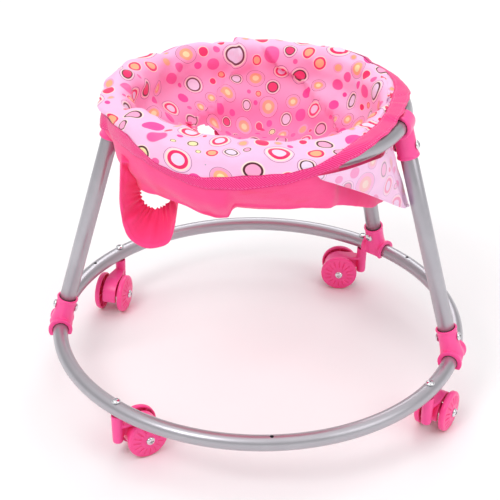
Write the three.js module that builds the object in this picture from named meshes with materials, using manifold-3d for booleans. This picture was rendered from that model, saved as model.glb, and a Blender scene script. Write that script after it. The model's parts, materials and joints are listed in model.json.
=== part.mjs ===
// A doll's baby walker: two tube rings joined by three leaning legs, with a
// cloth seat hung on the upper ring and four swivelling twin-wheel casters
// under the lower one.
// Millimetres, +Z up. The origin is on the floor under the rings' common axis,
// +X is the walker's right and +Y points to its back.

import * as THREE from 'three';
import { mergeVertices } from 'three/addons/utils/BufferGeometryUtils.js';
import Module from 'manifold-3d';

// ---- Driving dimensions --------------------------------------------------

const GAP = 0.3; // clearance between pieces that touch
const TUBE_WALL = 0.8;

const BASE_RING = { radius: 162, tube: 6, height: 45 };
const TOP_RING = { radius: 107, tube: 6, height: 237 };
const RING_BENDS = 40; // straight facets round a ring
const RING_SIDES = { outer: 10, inner: 6 }; // facets round its tube
const SEAM_HALF = 0.35; // degrees from the butt seam's centre to a tube end

const LEG = { radius: 6.5, sides: 12, inset: 8.2 };
const LEG_ANGLES = { left: 183.5, right: 342, rear: 48.2 };
const SPARE_HOLES = { angles: [35, 152, 273.5], radius: 1.5 };

const SOCKET = { radius: 8, length: 26, flare: 10, flareLength: 13, sides: 12 };
const SADDLE = { radius: 8.6, length: 22, lip: 9.5, lipLength: 2.4, wrap: 5 };
const SLEEVE = { radius: 9, length: 17 };
const SCREW_STATION = 17.5; // along the leg from the ring's centre-line

const SCREW = { head: 3.4, headHeight: 2, shank: 1.4, sides: 8 };
const SCREW_BORE = SCREW.shank + 0.45;
const SOCKET_SCREW_LENGTH = 3.4;

const WHEEL = { radius: 16.3, hub: 4.5, rim: 14, sides: 20 };
const WHEEL_SIDE = { inner: 8.2, web: 11.2, shoulder: 12, dome: 13.9, face: 14.5 };
const CASTER = {
  trail: 20, // swivel axis to axle
  barrel: 4.5,
  barrelFoot: 14,
  boss: 4.3,
  halfWidth: 6,
  cowlOuter: 14,
  cowlInner: 11.2,
  webHalf: 1.4,
  armTop: 30,
  armFoot: 19,
};
const CASTERS = {
  front_left: { angle: 229.6, heading: 31 },
  front_right: { angle: 323.6, heading: 59 },
  rear_left: { angle: 140.1, heading: 256 },
  rear_right: { angle: 53.7, heading: 175 },
};

const SEAT_STEPS = 32; // facets round the seat
const CLOTH = 1.5; // thickness of the soft solids
const BAND = { inner: 10.6, outer: 12, from: 8, to: 172, steps: 4 };
const LEG_HOLES = {
  front: { angle: 212, hole: 72, cuff: 88 }, // distances from the walker's axis
  rear: { angle: 138, hole: 72, cuff: 84 },
};
const CUFF = {
  width: 19, // half sizes of the loop and of its hole
  height: 24,
  holeWidth: 13,
  holeHeight: 14,
  rise: 6,
  depth: 12,
  drop: 65, // from the top ring down to the loop's middle
};
const LEG_HOLE_CUT = { radius: 15, drop: 83, depth: 57, sides: 14 };
// The flap leans outwards by flare for each millimetre down from its top edge.
const FLAP = { radius: 104.5, flare: 0.2, from: 292, to: 333, drop: 10, fall: 52, start: 0.08, steps: 6 };

// ---- Materials -----------------------------------------------------------

const finish = (color, roughness, metalness = 0) =>
  new THREE.MeshStandardMaterial({ color, roughness, metalness });

const MATERIALS = {
  silverPaint: finish(0xb2afb8, 0.38, 0.55),
  pinkPlastic: finish(0xf74f9a, 0.35),
  pinkWheel: finish(0xf4468f, 0.32),
  steel: finish(0xd6d6da, 0.22, 1),
  twill: finish(0xf5408c, 0.85),
  shell: finish(0xf9569a, 0.8),
  print: finish(0xf9bfe0, 0.8),
};

// ---- Small tools ---------------------------------------------------------

const wasm = await Module();
wasm.setup();

const rad = THREE.MathUtils.degToRad;
const vec = (x, y, z) => new THREE.Vector3(x, y, z);
const Z_AXIS = vec(0, 0, 1);

/** The point at an angle and a radius round the walker's axis. */
const polar = (angle, radius, z = 0) =>
  vec(radius * Math.cos(rad(angle)), radius * Math.sin(rad(angle)), z);

/** A closed geometry as a solid that can be joined and cut. */
function solid(geometry) {
  const bare = geometry.clone();
  bare.deleteAttribute('normal');
  bare.deleteAttribute('uv');
  const merged = mergeVertices(bare, 1e-4);
  const triVerts = Uint32Array.from(merged.index.array);
  const vertProperties = Float32Array.from(merged.attributes.position.array);
  return new wasm.Manifold(new wasm.Mesh({ numProp: 3, vertProperties, triVerts }));
}

/** A solid turned back into a geometry. */
function geometryOf(body) {
  const { vertProperties, triVerts } = body.getMesh();
  const geometry = new THREE.BufferGeometry();
  geometry.setAttribute('position', new THREE.BufferAttribute(vertProperties, 3));
  geometry.setIndex(new THREE.BufferAttribute(triVerts, 1));
  geometry.computeVertexNormals();
  return geometry;
}

/** Turns a geometry that runs along one axis to run along another, from a point. */
function aim(geometry, from, axis, direction) {
  const turn = new THREE.Quaternion().setFromUnitVectors(axis, direction.clone().normalize());
  return geometry.applyQuaternion(turn).translate(from.x, from.y, from.z);
}

/** A straight cylinder or cone that starts at a point and runs along a direction. */
function rod(from, direction, length, radius, sides, endRadius = radius) {
  const geometry = new THREE.CylinderGeometry(endRadius, radius, length, sides);
  geometry.translate(0, length / 2, 0);
  return aim(geometry, from, vec(0, 1, 0), direction);
}

/** A round outline, with an optional round hole. */
function roundShape(radius, sides, hole = 0, holeSides = sides) {
  const ring = (r, n) =>
    Array.from({ length: n }, (_, i) => {
      const turn = (2 * Math.PI * i) / n;
      return new THREE.Vector2(r * Math.cos(turn), r * Math.sin(turn));
    });
  const shape = new THREE.Shape(ring(radius, sides));
  if (hole) shape.holes.push(new THREE.Path(ring(hole, holeSides).reverse()));
  return shape;
}

/** A bent tube round the walker's axis, with its butt seam at an angle. */
function ringTube(ring, seam, radius, hole = 0) {
  const first = rad(seam + SEAM_HALF);
  const sweep = rad(360 - 2 * SEAM_HALF);
  class Arc extends THREE.Curve {
    getPoint(t, target = new THREE.Vector3()) {
      const turn = first + sweep * t;
      return target.set(ring.radius * Math.cos(turn), ring.radius * Math.sin(turn), ring.height);
    }
  }
  return new THREE.ExtrudeGeometry(roundShape(radius, RING_SIDES.outer, hole, RING_SIDES.inner), {
    steps: RING_BENDS,
    bevelEnabled: false,
    extrudePath: new Arc(),
  });
}

/** The solid body of a screw: its head above the origin, its shank along -Y. */
function screwGeometry(length) {
  const outline = [
    [0, -length],
    [SCREW.shank, -length],
    [SCREW.shank, 0],
    [SCREW.head, 0],
    [SCREW.head * 0.72, SCREW.headHeight],
    [0, SCREW.headHeight],
  ].map(([r, y]) => new THREE.Vector2(r, y));
  return new THREE.LatheGeometry(outline, SCREW.sides);
}

const walker = new THREE.Group();

/** Adds a named mesh to a group. */
function add(name, geometry, material, group = walker) {
  const mesh = new THREE.Mesh(geometry, material);
  mesh.name = name;
  group.add(mesh);
  return mesh;
}

/** Adds a screw whose head stands on a point and faces outwards. */
function addScrew(name, point, outwards, length, group = walker) {
  const mesh = add(name, screwGeometry(length), MATERIALS.steel, group);
  mesh.position.copy(point);
  mesh.quaternion.setFromUnitVectors(vec(0, 1, 0), outwards.clone().normalize());
}

// ---- Legs and their connectors -------------------------------------------

/** Where a leg stands, the way it leans, and the way its screws point. */
function legLine(angle) {
  const foot = polar(angle, BASE_RING.radius, BASE_RING.height);
  const head = polar(angle, TOP_RING.radius, TOP_RING.height);
  const up = head.clone().sub(foot).normalize();
  const tangent = polar(angle + 90, 1);
  const outwards = tangent.clone().cross(up).normalize();
  return { foot, head, up, tangent, outwards, length: head.distanceTo(foot) };
}

/** The two screw bores at one end of a leg, straight through from side to side. */
function screwBore(line, end, along) {
  const centre = end.clone().addScaledVector(along, SCREW_STATION);
  const start = centre.addScaledVector(line.outwards, -2 * SOCKET.radius);
  return solid(rod(start, line.outwards, 4 * SOCKET.radius, SCREW_BORE, SCREW.sides));
}

function legTube(line) {
  const length = line.length - 2 * LEG.inset;
  const outline = roundShape(LEG.radius, LEG.sides, LEG.radius - TUBE_WALL);
  const tube = new THREE.ExtrudeGeometry(outline, { depth: length, bevelEnabled: false });
  const start = line.foot.clone().addScaledVector(line.up, LEG.inset);
  const down = line.up.clone().negate();
  return solid(aim(tube, start, Z_AXIS, line.up))
    .subtract(screwBore(line, line.foot, line.up))
    .subtract(screwBore(line, line.head, down));
}

/** A short barrel along a ring's tube, set off from a point by a shift. */
function barrelOnRing(centre, tangent, length, radius, shift = 0) {
  const start = centre.clone().addScaledVector(tangent, shift - length / 2);
  return solid(rod(start, tangent, length, radius, SOCKET.sides));
}

/** The saddle that sits over the lower ring, with a raised lip at each end. */
function saddleBody(centre, tangent) {
  const { length, radius, lip, lipLength } = SADDLE;
  const reach = (length - lipLength) / 2;
  return barrelOnRing(centre, tangent, length, radius)
    .add(barrelOnRing(centre, tangent, lipLength, lip, reach))
    .add(barrelOnRing(centre, tangent, lipLength, lip, -reach));
}

/** The plain round socket that holds a leg's end. */
function socketBody(end, along) {
  return solid(rod(end, along, SOCKET.length, SOCKET.radius, SOCKET.sides));
}

/** The bore of a socket, from the leg's end outwards. */
function socketBore(end, along) {
  const start = end.clone().addScaledVector(along, LEG.inset - GAP);
  return solid(rod(start, along, SOCKET.length, LEG.radius + GAP, LEG.sides));
}

function lowerConnector(line, ringBore) {
  const { radius, flare, flareLength, sides } = SOCKET;
  const size = 4 * flare;
  const below = new THREE.BoxGeometry(size, size, size);
  below.translate(line.foot.x, line.foot.y, BASE_RING.height - SADDLE.wrap - size / 2);
  return saddleBody(line.foot, line.tangent)
    .add(socketBody(line.foot, line.up))
    .add(solid(rod(line.foot, line.up, flareLength, flare, sides, radius)))
    .subtract(solid(below))
    .subtract(ringBore)
    .subtract(socketBore(line.foot, line.up))
    .subtract(screwBore(line, line.foot, line.up));
}

function upperConnector(line, ringBore) {
  const down = line.up.clone().negate();
  return barrelOnRing(line.head, line.tangent, SLEEVE.length, SLEEVE.radius)
    .add(socketBody(line.head, down))
    .subtract(ringBore)
    .subtract(socketBore(line.head, down))
    .subtract(screwBore(line, line.head, down));
}

function addSocketScrews(name, line, end, along) {
  const centre = end.clone().addScaledVector(along, SCREW_STATION);
  const sides = { outer: line.outwards, inner: line.outwards.clone().negate() };
  for (const [side, outwards] of Object.entries(sides)) {
    const seat = centre.clone().addScaledVector(outwards, SOCKET.radius + GAP);
    addScrew(`${name}_screw_${side}`, seat, outwards, SOCKET_SCREW_LENGTH);
  }
}

function addLegs() {
  const bores = [BASE_RING, TOP_RING].map((ring) =>
    solid(ringTube(ring, LEG_ANGLES.left + 180, ring.tube + GAP)));
  for (const [side, angle] of Object.entries(LEG_ANGLES)) {
    const line = legLine(angle);
    const down = line.up.clone().negate();
    const lower = lowerConnector(line, bores[0]);
    const upper = upperConnector(line, bores[1]);
    add(`leg_${side}`, geometryOf(legTube(line)), MATERIALS.silverPaint);
    add(`lower_connector_${side}`, geometryOf(lower), MATERIALS.pinkPlastic);
    add(`upper_connector_${side}`, geometryOf(upper), MATERIALS.pinkPlastic);
    addSocketScrews(`lower_${side}`, line, line.foot, line.up);
    addSocketScrews(`upper_${side}`, line, line.head, down);
  }
}

// ---- Rings ---------------------------------------------------------------

function addRings() {
  const tube = (ring) =>
    solid(ringTube(ring, LEG_ANGLES.left, ring.tube, ring.tube - TUBE_WALL));
  let base = tube(BASE_RING);
  for (const angle of SPARE_HOLES.angles) {
    const start = polar(angle, BASE_RING.radius, BASE_RING.height);
    const depth = 2 * BASE_RING.tube;
    base = base.subtract(solid(rod(start, Z_AXIS, depth, SPARE_HOLES.radius, SCREW.sides)));
  }
  for (const { angle } of Object.values(CASTERS)) {
    const start = polar(angle, BASE_RING.radius, BASE_RING.height - 2 * BASE_RING.tube);
    base = base.subtract(solid(rod(start, Z_AXIS, 4 * BASE_RING.tube, SCREW_BORE, SCREW.sides)));
  }
  add('base_ring', geometryOf(base), MATERIALS.silverPaint);
  add('top_ring', geometryOf(tube(TOP_RING)), MATERIALS.silverPaint);
}

// ---- Casters -------------------------------------------------------------

/** An outline in the caster's side plane, as a plate centred on that plane. */
function sidePlate(shape, halfWidth) {
  const plate = new THREE.ExtrudeGeometry(shape, {
    depth: 2 * halfWidth,
    bevelEnabled: false,
    curveSegments: 7,
  });
  return solid(plate.translate(0, 0, -halfWidth).rotateX(Math.PI / 2));
}

/** The curved cowl that covers the axle between the two wheels. */
function cowlShape() {
  const { trail, cowlOuter, cowlInner } = CASTER;
  const from = rad(-12);
  const to = rad(192);
  const shape = new THREE.Shape();
  shape.absarc(trail, WHEEL.radius, cowlOuter, from, to, false);
  shape.absarc(trail, WHEEL.radius, cowlInner, to, from, true);
  return shape;
}

/** The arm that ties the barrel to the cowl, and the web down to the axle boss. */
function armShape() {
  const { trail, armTop, armFoot } = CASTER;
  return new THREE.Shape([
    new THREE.Vector2(0, armFoot),
    new THREE.Vector2(trail, WHEEL.radius),
    new THREE.Vector2(trail, armTop),
    new THREE.Vector2(0, armTop),
  ]);
}

function casterBody() {
  const { trail, barrel, barrelFoot, boss, halfWidth, webHalf } = CASTER;
  const barrelTop = BASE_RING.height - BASE_RING.tube - GAP;
  const side = vec(0, 1, 0);
  const post = rod(vec(0, 0, barrelFoot), Z_AXIS, barrelTop - barrelFoot, barrel, 16);
  const postBore = rod(vec(0, 0, barrelFoot + barrel), Z_AXIS, barrelTop, SCREW_BORE, SCREW.sides);
  const axleStart = vec(trail, -halfWidth, WHEEL.radius);
  const boreStart = vec(trail, -2 * halfWidth, WHEEL.radius);
  const axleBore = rod(boreStart, side, 4 * halfWidth, SCREW_BORE, SCREW.sides);
  return solid(post)
    .add(sidePlate(armShape(), webHalf))
    .add(sidePlate(cowlShape(), halfWidth))
    .add(solid(rod(axleStart, side, 2 * halfWidth, boss, 12)))
    .subtract(solid(postBore))
    .subtract(solid(axleBore));
}

/** A dished wheel disc on the +Y side of the axle, hollow towards the caster's body. */
function wheelGeometry() {
  const { radius, hub, rim, sides } = WHEEL;
  const { inner, web, shoulder, dome, face } = WHEEL_SIDE;
  const outline = [
    [SCREW_BORE, CASTER.halfWidth + GAP],
    [hub, CASTER.halfWidth + GAP],
    [hub, web],
    [rim, web],
    [rim, inner],
    [radius, inner],
    [radius, shoulder],
    [rim - 1, dome],
    [SCREW_BORE, face],
    [SCREW_BORE, CASTER.halfWidth + GAP],
  ].map(([r, y]) => new THREE.Vector2(r, y));
  const disc = new THREE.LatheGeometry(outline, sides);
  // Half a facet of turn and the stretch lay one flat facet of the tread on the floor.
  const stretch = 1 / Math.cos(Math.PI / sides);
  return disc.rotateY(Math.PI / sides).scale(stretch, 1, stretch);
}

function addCaster(name, { angle, heading }) {
  const caster = new THREE.Group();
  caster.position.copy(polar(angle, BASE_RING.radius));
  caster.rotation.z = rad(heading);
  walker.add(caster);

  add(`caster_body_${name}`, geometryOf(casterBody()), MATERIALS.pinkPlastic, caster);
  const headSeat = BASE_RING.height + BASE_RING.tube + GAP;
  const shank = headSeat - CASTER.barrelFoot - CASTER.barrel - GAP;
  addScrew(`caster_screw_${name}`, vec(0, 0, headSeat), Z_AXIS, shank, caster);

  for (const [side, turn] of [['left', 0], ['right', Math.PI]]) {
    const hub = new THREE.Group();
    hub.position.set(CASTER.trail, 0, WHEEL.radius);
    hub.rotation.z = turn;
    caster.add(hub);
    add(`wheel_${name}_${side}`, wheelGeometry(), MATERIALS.pinkWheel, hub);
    const seat = vec(0, WHEEL_SIDE.face + GAP, 0);
    addScrew(`wheel_screw_${name}_${side}`, seat, vec(0, 1, 0), seat.y - GAP, hub);
  }
}

// ---- Seat ----------------------------------------------------------------

/** A ring or bowl turned about the walker's axis, its heights counted from the top ring. */
function turned(points) {
  const outline = points.map(([r, rise]) => new THREE.Vector2(r, TOP_RING.height + rise));
  return new THREE.LatheGeometry(outline, SEAT_STEPS).rotateX(Math.PI / 2);
}

/** Points on an arc round the top ring's tube: 0 degrees is outwards, 90 is up. */
function arcRoundTube(radius, from, to, steps) {
  return Array.from({ length: steps + 1 }, (_, i) => {
    const turn = rad(from + ((to - from) * i) / steps);
    return [TOP_RING.radius + radius * Math.cos(turn), radius * Math.sin(turn)];
  });
}

/** The hot pink binding that caps the upper ring. */
function bandGeometry() {
  const { inner, outer, from, to, steps } = BAND;
  const loop = [
    ...arcRoundTube(outer, from, to, steps),
    ...arcRoundTube(inner, to, from, steps),
  ];
  return turned([...loop, loop[0]]);
}

/** The two holes that the doll's legs go down through, as one cutter. */
function legHoleCutter() {
  const { radius, drop, depth, sides } = LEG_HOLE_CUT;
  const foot = TOP_RING.height - drop;
  const cutters = Object.values(LEG_HOLES).map(({ angle, hole }) =>
    solid(rod(polar(angle, hole, foot), Z_AXIS, depth, radius, sides)));
  return cutters[0].add(cutters[1]);
}

/** The printed bag: a cone up from the seat's middle to a roll inside the rim. */
function linerBody() {
  const under = [[0, -68], [34, -63.5], [56, -52], [75, -40.5], [83, -20], [86, 0], [93, 9]];
  const above = [[90, 11], [83, 1], [80, -19], [72, -39], [55, -50], [34, -61.5], [0, -66]];
  return solid(turned([...under, ...above])).subtract(legHoleCutter());
}

/** The hot pink outer panel, from below the bag to just under the binding. */
function shellBody() {
  const under = [[0, -71.5], [36, -67], [58, -55], [82, -39.5], [94, -25], [97, -7]];
  const above = [[95.5, -6.5], [92.5, -24], [80.5, -37.5], [56.5, -53], [35, -65], [0, -70]];
  return solid(turned([...under, ...above])).subtract(legHoleCutter());
}

/** A drooping loop of cloth round a leg hole, lying across the walker's Y axis. */
function cuffGeometry() {
  const { width, height, holeWidth, holeHeight, rise, depth } = CUFF;
  const shape = new THREE.Shape();
  shape.absellipse(0, 0, width, height, 0, 2 * Math.PI, false);
  const hole = new THREE.Path();
  hole.absellipse(0, rise, holeWidth, holeHeight, 0, 2 * Math.PI, true);
  shape.holes.push(hole);
  const loop = new THREE.ExtrudeGeometry(shape, { depth, bevelEnabled: false, curveSegments: 9 });
  return loop.translate(0, 0, -depth / 2).rotateX(Math.PI / 2);
}

/** The printed side flap: a curved panel whose lower edge slopes down to the leg. */
function flapGeometry() {
  const { radius, flare, from, to, drop, fall, start, steps } = FLAP;
  const top = TOP_RING.height - drop;
  const positions = [];
  for (let i = 0; i <= steps; i += 1) {
    const part = i / steps;
    const depth = fall * THREE.MathUtils.lerp(start, 1, part);
    const foot = radius + flare * depth;
    const corners = [[foot, depth], [radius, 0], [radius - CLOTH, 0], [foot - CLOTH, depth]];
    for (const [r, below] of corners) {
      positions.push(...polar(from + (to - from) * part, r, top - below).toArray());
    }
  }
  const index = [0, 1, 2, 0, 2, 3];
  for (let i = 0; i < steps; i += 1) {
    for (let side = 0; side < 4; side += 1) {
      const a = 4 * i + side;
      const b = 4 * i + ((side + 1) % 4);
      index.push(a, a + 4, b, b, a + 4, b + 4);
    }
  }
  const last = 4 * steps;
  index.push(last, last + 2, last + 1, last, last + 3, last + 2);
  const geometry = new THREE.BufferGeometry();
  geometry.setAttribute('position', new THREE.Float32BufferAttribute(positions, 3));
  geometry.setIndex(index);
  return geometry;
}

function addSeat() {
  add('seat_band', bandGeometry(), MATERIALS.twill);
  add('seat_liner', geometryOf(linerBody()), MATERIALS.print);
  add('seat_shell', geometryOf(shellBody()), MATERIALS.shell);
  add('side_flap', flapGeometry(), MATERIALS.print);
  for (const [side, { angle, cuff }] of Object.entries(LEG_HOLES)) {
    const loop = add(`leg_cuff_${side}`, cuffGeometry(), MATERIALS.shell);
    loop.position.copy(polar(angle, cuff, TOP_RING.height - CUFF.drop));
  }
}

// ---- The walker ----------------------------------------------------------

addRings();
addLegs();
for (const [name, place] of Object.entries(CASTERS)) addCaster(name, place);
addSeat();

export default walker;
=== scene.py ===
"""The looks of a doll's baby walker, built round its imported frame.

Sizes are in millimetres, angles in degrees round the walker's axis from its right side,
and every place comes from the frame's nodes and joints.
"""

import json
import logging
import math
from collections.abc import Sequence
from dataclasses import dataclass, field
from enum import Enum

import bmesh
import bpy
import numpy as np
from mathutils import Matrix, Vector


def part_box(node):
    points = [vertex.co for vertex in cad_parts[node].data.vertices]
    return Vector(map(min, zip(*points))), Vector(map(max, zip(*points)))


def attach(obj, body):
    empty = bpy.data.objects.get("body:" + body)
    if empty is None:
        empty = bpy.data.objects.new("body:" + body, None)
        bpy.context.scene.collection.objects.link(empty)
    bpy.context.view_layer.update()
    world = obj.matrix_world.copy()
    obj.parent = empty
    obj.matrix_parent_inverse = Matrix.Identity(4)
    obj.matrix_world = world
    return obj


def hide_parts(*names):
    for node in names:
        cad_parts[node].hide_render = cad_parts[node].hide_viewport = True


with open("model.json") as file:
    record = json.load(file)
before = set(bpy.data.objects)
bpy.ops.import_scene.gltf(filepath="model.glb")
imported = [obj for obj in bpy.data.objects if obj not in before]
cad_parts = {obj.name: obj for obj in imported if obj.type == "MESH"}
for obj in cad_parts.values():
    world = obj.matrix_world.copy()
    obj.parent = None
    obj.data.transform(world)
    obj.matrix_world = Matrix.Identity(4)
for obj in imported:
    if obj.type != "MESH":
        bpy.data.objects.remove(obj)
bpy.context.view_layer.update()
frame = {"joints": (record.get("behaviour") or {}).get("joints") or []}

MM = 0.001
LOG = logging.getLogger("doll_walker")

Array = np.ndarray
Colour = tuple[float, float, float]
Stations = Sequence[tuple[float, float]]
Folds = Sequence[tuple[float, float, float, float]]
Socket = bpy.types.NodeSocket


# ---- Mesh tools ----------------------------------------------------------------------


def make_object(name: str, points: Array, faces: Sequence[Sequence[int]]) -> bpy.types.Object:
    """Makes a smooth-shaded mesh object.

    Args:
        name: The piece's name.
        points: Its vertices, in millimetres.
        faces: Vertex numbers of each face.

    Returns:
        The new object, linked to the scene.
    """
    mesh = bpy.data.meshes.new(name)
    mesh.from_pydata((np.asarray(points, float) * MM).tolist(), [], [tuple(f) for f in faces])
    mesh.validate()
    mesh.shade_smooth()
    made = bpy.data.objects.new(name, mesh)
    bpy.context.scene.collection.objects.link(made)
    return made


def face_outwards(made: bpy.types.Object) -> None:
    """Turns all faces of a closed mesh to point outwards.

    Args:
        made: The object.
    """
    work = bmesh.new()
    work.from_mesh(made.data)
    bmesh.ops.recalc_face_normals(work, faces=work.faces)
    work.to_mesh(made.data)
    work.free()


def settle(made: bpy.types.Object) -> bpy.types.Object:
    """Applies all of an object's modifiers to its mesh.

    Args:
        made: The object to settle.

    Returns:
        The same object, with no modifiers left.
    """
    graph = bpy.context.evaluated_depsgraph_get()
    result = bpy.data.meshes.new_from_object(made.evaluated_get(graph))
    old = made.data
    made.modifiers.clear()
    made.data = result
    result.name = made.name
    bpy.data.meshes.remove(old)
    return made


def grid_faces(rows: int, columns: int, wrap: bool, loop: bool = False) -> list[tuple[int, ...]]:
    """Lists the four-sided faces of a grid of points.

    Args:
        rows: Number of rows.
        columns: Number of points in each row.
        wrap: Whether each row closes on itself.
        loop: Whether the last row joins the first.

    Returns:
        The faces as vertex numbers.
    """
    faces = []
    for i in range(rows if loop else rows - 1):
        below = (i + 1) % rows
        for j in range(columns if wrap else columns - 1):
            k = (j + 1) % columns
            faces.append(
                (i * columns + j, i * columns + k, below * columns + k, below * columns + j)
            )
    return faces


def polar(angle: float | Array, radius: float | Array, height: float | Array = 0.0) -> Array:
    """The point at an angle, a radius and a height round the walker's axis."""
    turn = np.radians(angle)
    return np.stack(
        np.broadcast_arrays(radius * np.cos(turn), radius * np.sin(turn), height), axis=-1
    ).astype(float)


def round_values(stations: Stations, angles: Array, blur: float = 9.0) -> Array:
    """Runs a smooth closed curve through values given at angles.

    Args:
        stations: Pairs of an angle and a value, in order of angle.
        angles: Where the curve is read.
        blur: How far each side, in degrees, corners are rounded.

    Returns:
        The curve's value at each angle.
    """
    at, value = (np.array(column, float) for column in zip(*stations, strict=True))
    at = np.concatenate([at - 360, at, at + 360])
    value = np.tile(value, 3)
    offsets = np.linspace(-blur, blur, 19)
    weights = 1 + np.cos(np.pi * offsets / (blur * 1.06))
    samples = np.interp((angles % 360)[:, None] + offsets[None, :], at, value)
    return samples @ weights / weights.sum()


def smooth_rows(rows: Array, steps: int) -> Array:
    """Runs a Catmull-Rom curve down every column of a grid of control points.

    Args:
        rows: Control points, rows by columns by coordinates.
        steps: Points between two control rows.

    Returns:
        The finer grid.
    """
    ends = np.concatenate([2 * rows[:1] - rows[1:2], rows, 2 * rows[-1:] - rows[-2:-1]])
    parts = []
    for i in range(len(rows) - 1):
        a, b, c, d = ends[i : i + 4]
        for t in np.arange(steps) / steps:
            parts.append(
                0.5
                * (
                    2 * b
                    + (c - a) * t
                    + (2 * a - 5 * b + 4 * c - d) * t**2
                    + (3 * b - a - 3 * c + d) * t**3
                )
            )
    parts.append(rows[-1])
    return np.array(parts)


def bump(distance: Array, width: float) -> Array:
    """A smooth rise to 1 at distance 0 that dies away over a width."""
    return np.exp(-((distance / width) ** 2))


def step_up(value: Array, low: float, high: float) -> Array:
    """A smooth step from 0 below low to 1 above high."""
    t = np.clip((value - low) / (high - low), 0, 1)
    return t * t * (3 - 2 * t)


def angle_of(points: Array) -> Array:
    """The angle of each point round the walker's axis, from 0 to 360."""
    return np.degrees(np.arctan2(points[..., 1], points[..., 0])) % 360


def turn_between(angle: Array, other: float | Array) -> Array:
    """How far round an angle lies from another, from -180 to 180."""
    return (angle - other + 180) % 360 - 180


def down_cloth(points: Array) -> Array:
    """The mean distance down a grid of cloth to each of its rows."""
    steps = np.linalg.norm(np.diff(points, axis=0), axis=2).mean(axis=1)
    return np.concatenate([[0], np.cumsum(steps)])


def prism_faces(count: int) -> list[tuple[int, ...]]:
    """The faces of a prism whose two ends are numbered one after the other.

    Args:
        count: How many points are read.

    Returns:
        The faces, the two ends first.
    """
    faces = [tuple(range(count)), tuple(range(2 * count - 1, count - 1, -1))]
    faces += [(i, (i + 1) % count, count + (i + 1) % count, count + i) for i in range(count)]
    return faces


@dataclass
class Shape:
    """Points and faces of one plain closed form, in millimetres."""

    points: Array
    faces: list[tuple[int, ...]]

    def moved(self, matrix: Matrix) -> "Shape":
        """The form carried by a matrix whose shift is in millimetres."""
        turn = np.array(matrix.to_3x3())
        return Shape(self.points @ turn.T + np.array(matrix.translation), self.faces)


def join_shapes(name: str, shapes: Sequence[Shape]) -> bpy.types.Object:
    """Puts several closed forms in one object.

    Args:
        name: The object's name.
        shapes: The forms.

    Returns:
        The object, with all faces pointing outwards.
    """
    points, faces, count = [], [], 0
    for shape in shapes:
        points.append(shape.points)
        faces += [tuple(v + count for v in f) for f in shape.faces]
        count += len(shape.points)
    made = make_object(name, np.concatenate(points), faces)
    face_outwards(made)
    return made


def sweep(path: Array, radii: Sequence[float] | Array, sides: int, closed: bool = False) -> Shape:
    """Draws a round bar along a path.

    Args:
        path: Points along its centre-line.
        radii: Its radius at each point.
        sides: Facets round it.
        closed: Whether it joins up with itself.

    Returns:
        The bar, with flat ends unless it is closed.
    """
    path = np.asarray(path, float)
    if closed:
        along = np.roll(path, -1, 0) - np.roll(path, 1, 0)
    else:
        along = np.gradient(path, axis=0)
    along /= np.linalg.norm(along, axis=1)[:, None]
    upright = np.array([0.0, 0.0, 1.0]) if abs(along[0][2]) < 0.7 else np.array([1.0, 0.0, 0.0])
    side = np.cross(along, upright)
    side /= np.linalg.norm(side, axis=1)[:, None]
    other = np.cross(side, along)
    turn = np.arange(sides) * 2 * np.pi / sides
    rings = (
        path[:, None]
        + np.cos(turn)[None, :, None] * (side * np.asarray(radii, float)[:, None])[:, None]
        + np.sin(turn)[None, :, None] * (other * np.asarray(radii, float)[:, None])[:, None]
    )
    faces = grid_faces(len(path), sides, True, closed)
    if not closed:
        faces.append(tuple(range(sides)))
        faces.append(tuple(range(len(path) * sides - 1, (len(path) - 1) * sides - 1, -1)))
    return Shape(rings.reshape(-1, 3), faces)


def rod(start: Array, end: Array, radii: Sequence[float], sides: int = 48) -> Shape:
    """Makes a straight bar whose radius changes evenly along it.

    Args:
        start: Centre of its first end.
        end: Centre of its last end.
        radii: Radii at even steps from start to end; a lone value holds all along.
        sides: Facets round it.

    Returns:
        The bar.
    """
    radii = list(radii) * 2 if len(radii) == 1 else list(radii)
    steps = np.linspace(0, 1, len(radii))[:, None]
    return sweep(np.asarray(start) * (1 - steps) + np.asarray(end) * steps, radii, sides)


def turned(outline: Sequence[tuple[float, float]], sides: int) -> Shape:
    """Turns a closed outline of (radius, along) about the Y axis.

    Args:
        outline: Points in order round the section.
        sides: Facets round the axis.

    Returns:
        The turned ring.
    """
    section = np.array(outline, float)
    turn = np.arange(sides) * 2 * np.pi / sides
    radius, along = section[:, 0][:, None], section[:, 1][:, None]
    points = np.stack(
        np.broadcast_arrays(radius * np.sin(turn), along, radius * np.cos(turn)), axis=-1
    )
    return Shape(points.reshape(-1, 3), grid_faces(len(section), sides, True, loop=True))


def plate(outline: Sequence[tuple[float, float]], half_width: float) -> Shape:
    """A flat plate from an outline in the XZ plane, centred on it.

    Args:
        outline: Corners (x, z), in order.
        half_width: Half its thickness.

    Returns:
        The plate.
    """
    near = [(x, -half_width, z) for x, z in outline]
    far = [(x, half_width, z) for x, z in outline]
    return Shape(np.array(near + far, float), prism_faces(len(outline)))


def box(low: Sequence[float], high: Sequence[float]) -> Shape:
    """A plain box between two corners, used as a cutter.

    Args:
        low: The lowest corner.
        high: The highest corner.

    Returns:
        The box.
    """
    outline = [(low[0], low[2]), (high[0], low[2]), (high[0], high[2]), (low[0], high[2])]
    made = plate(outline, (high[1] - low[1]) / 2)
    made.points[:, 1] += (high[1] + low[1]) / 2
    return made


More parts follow.
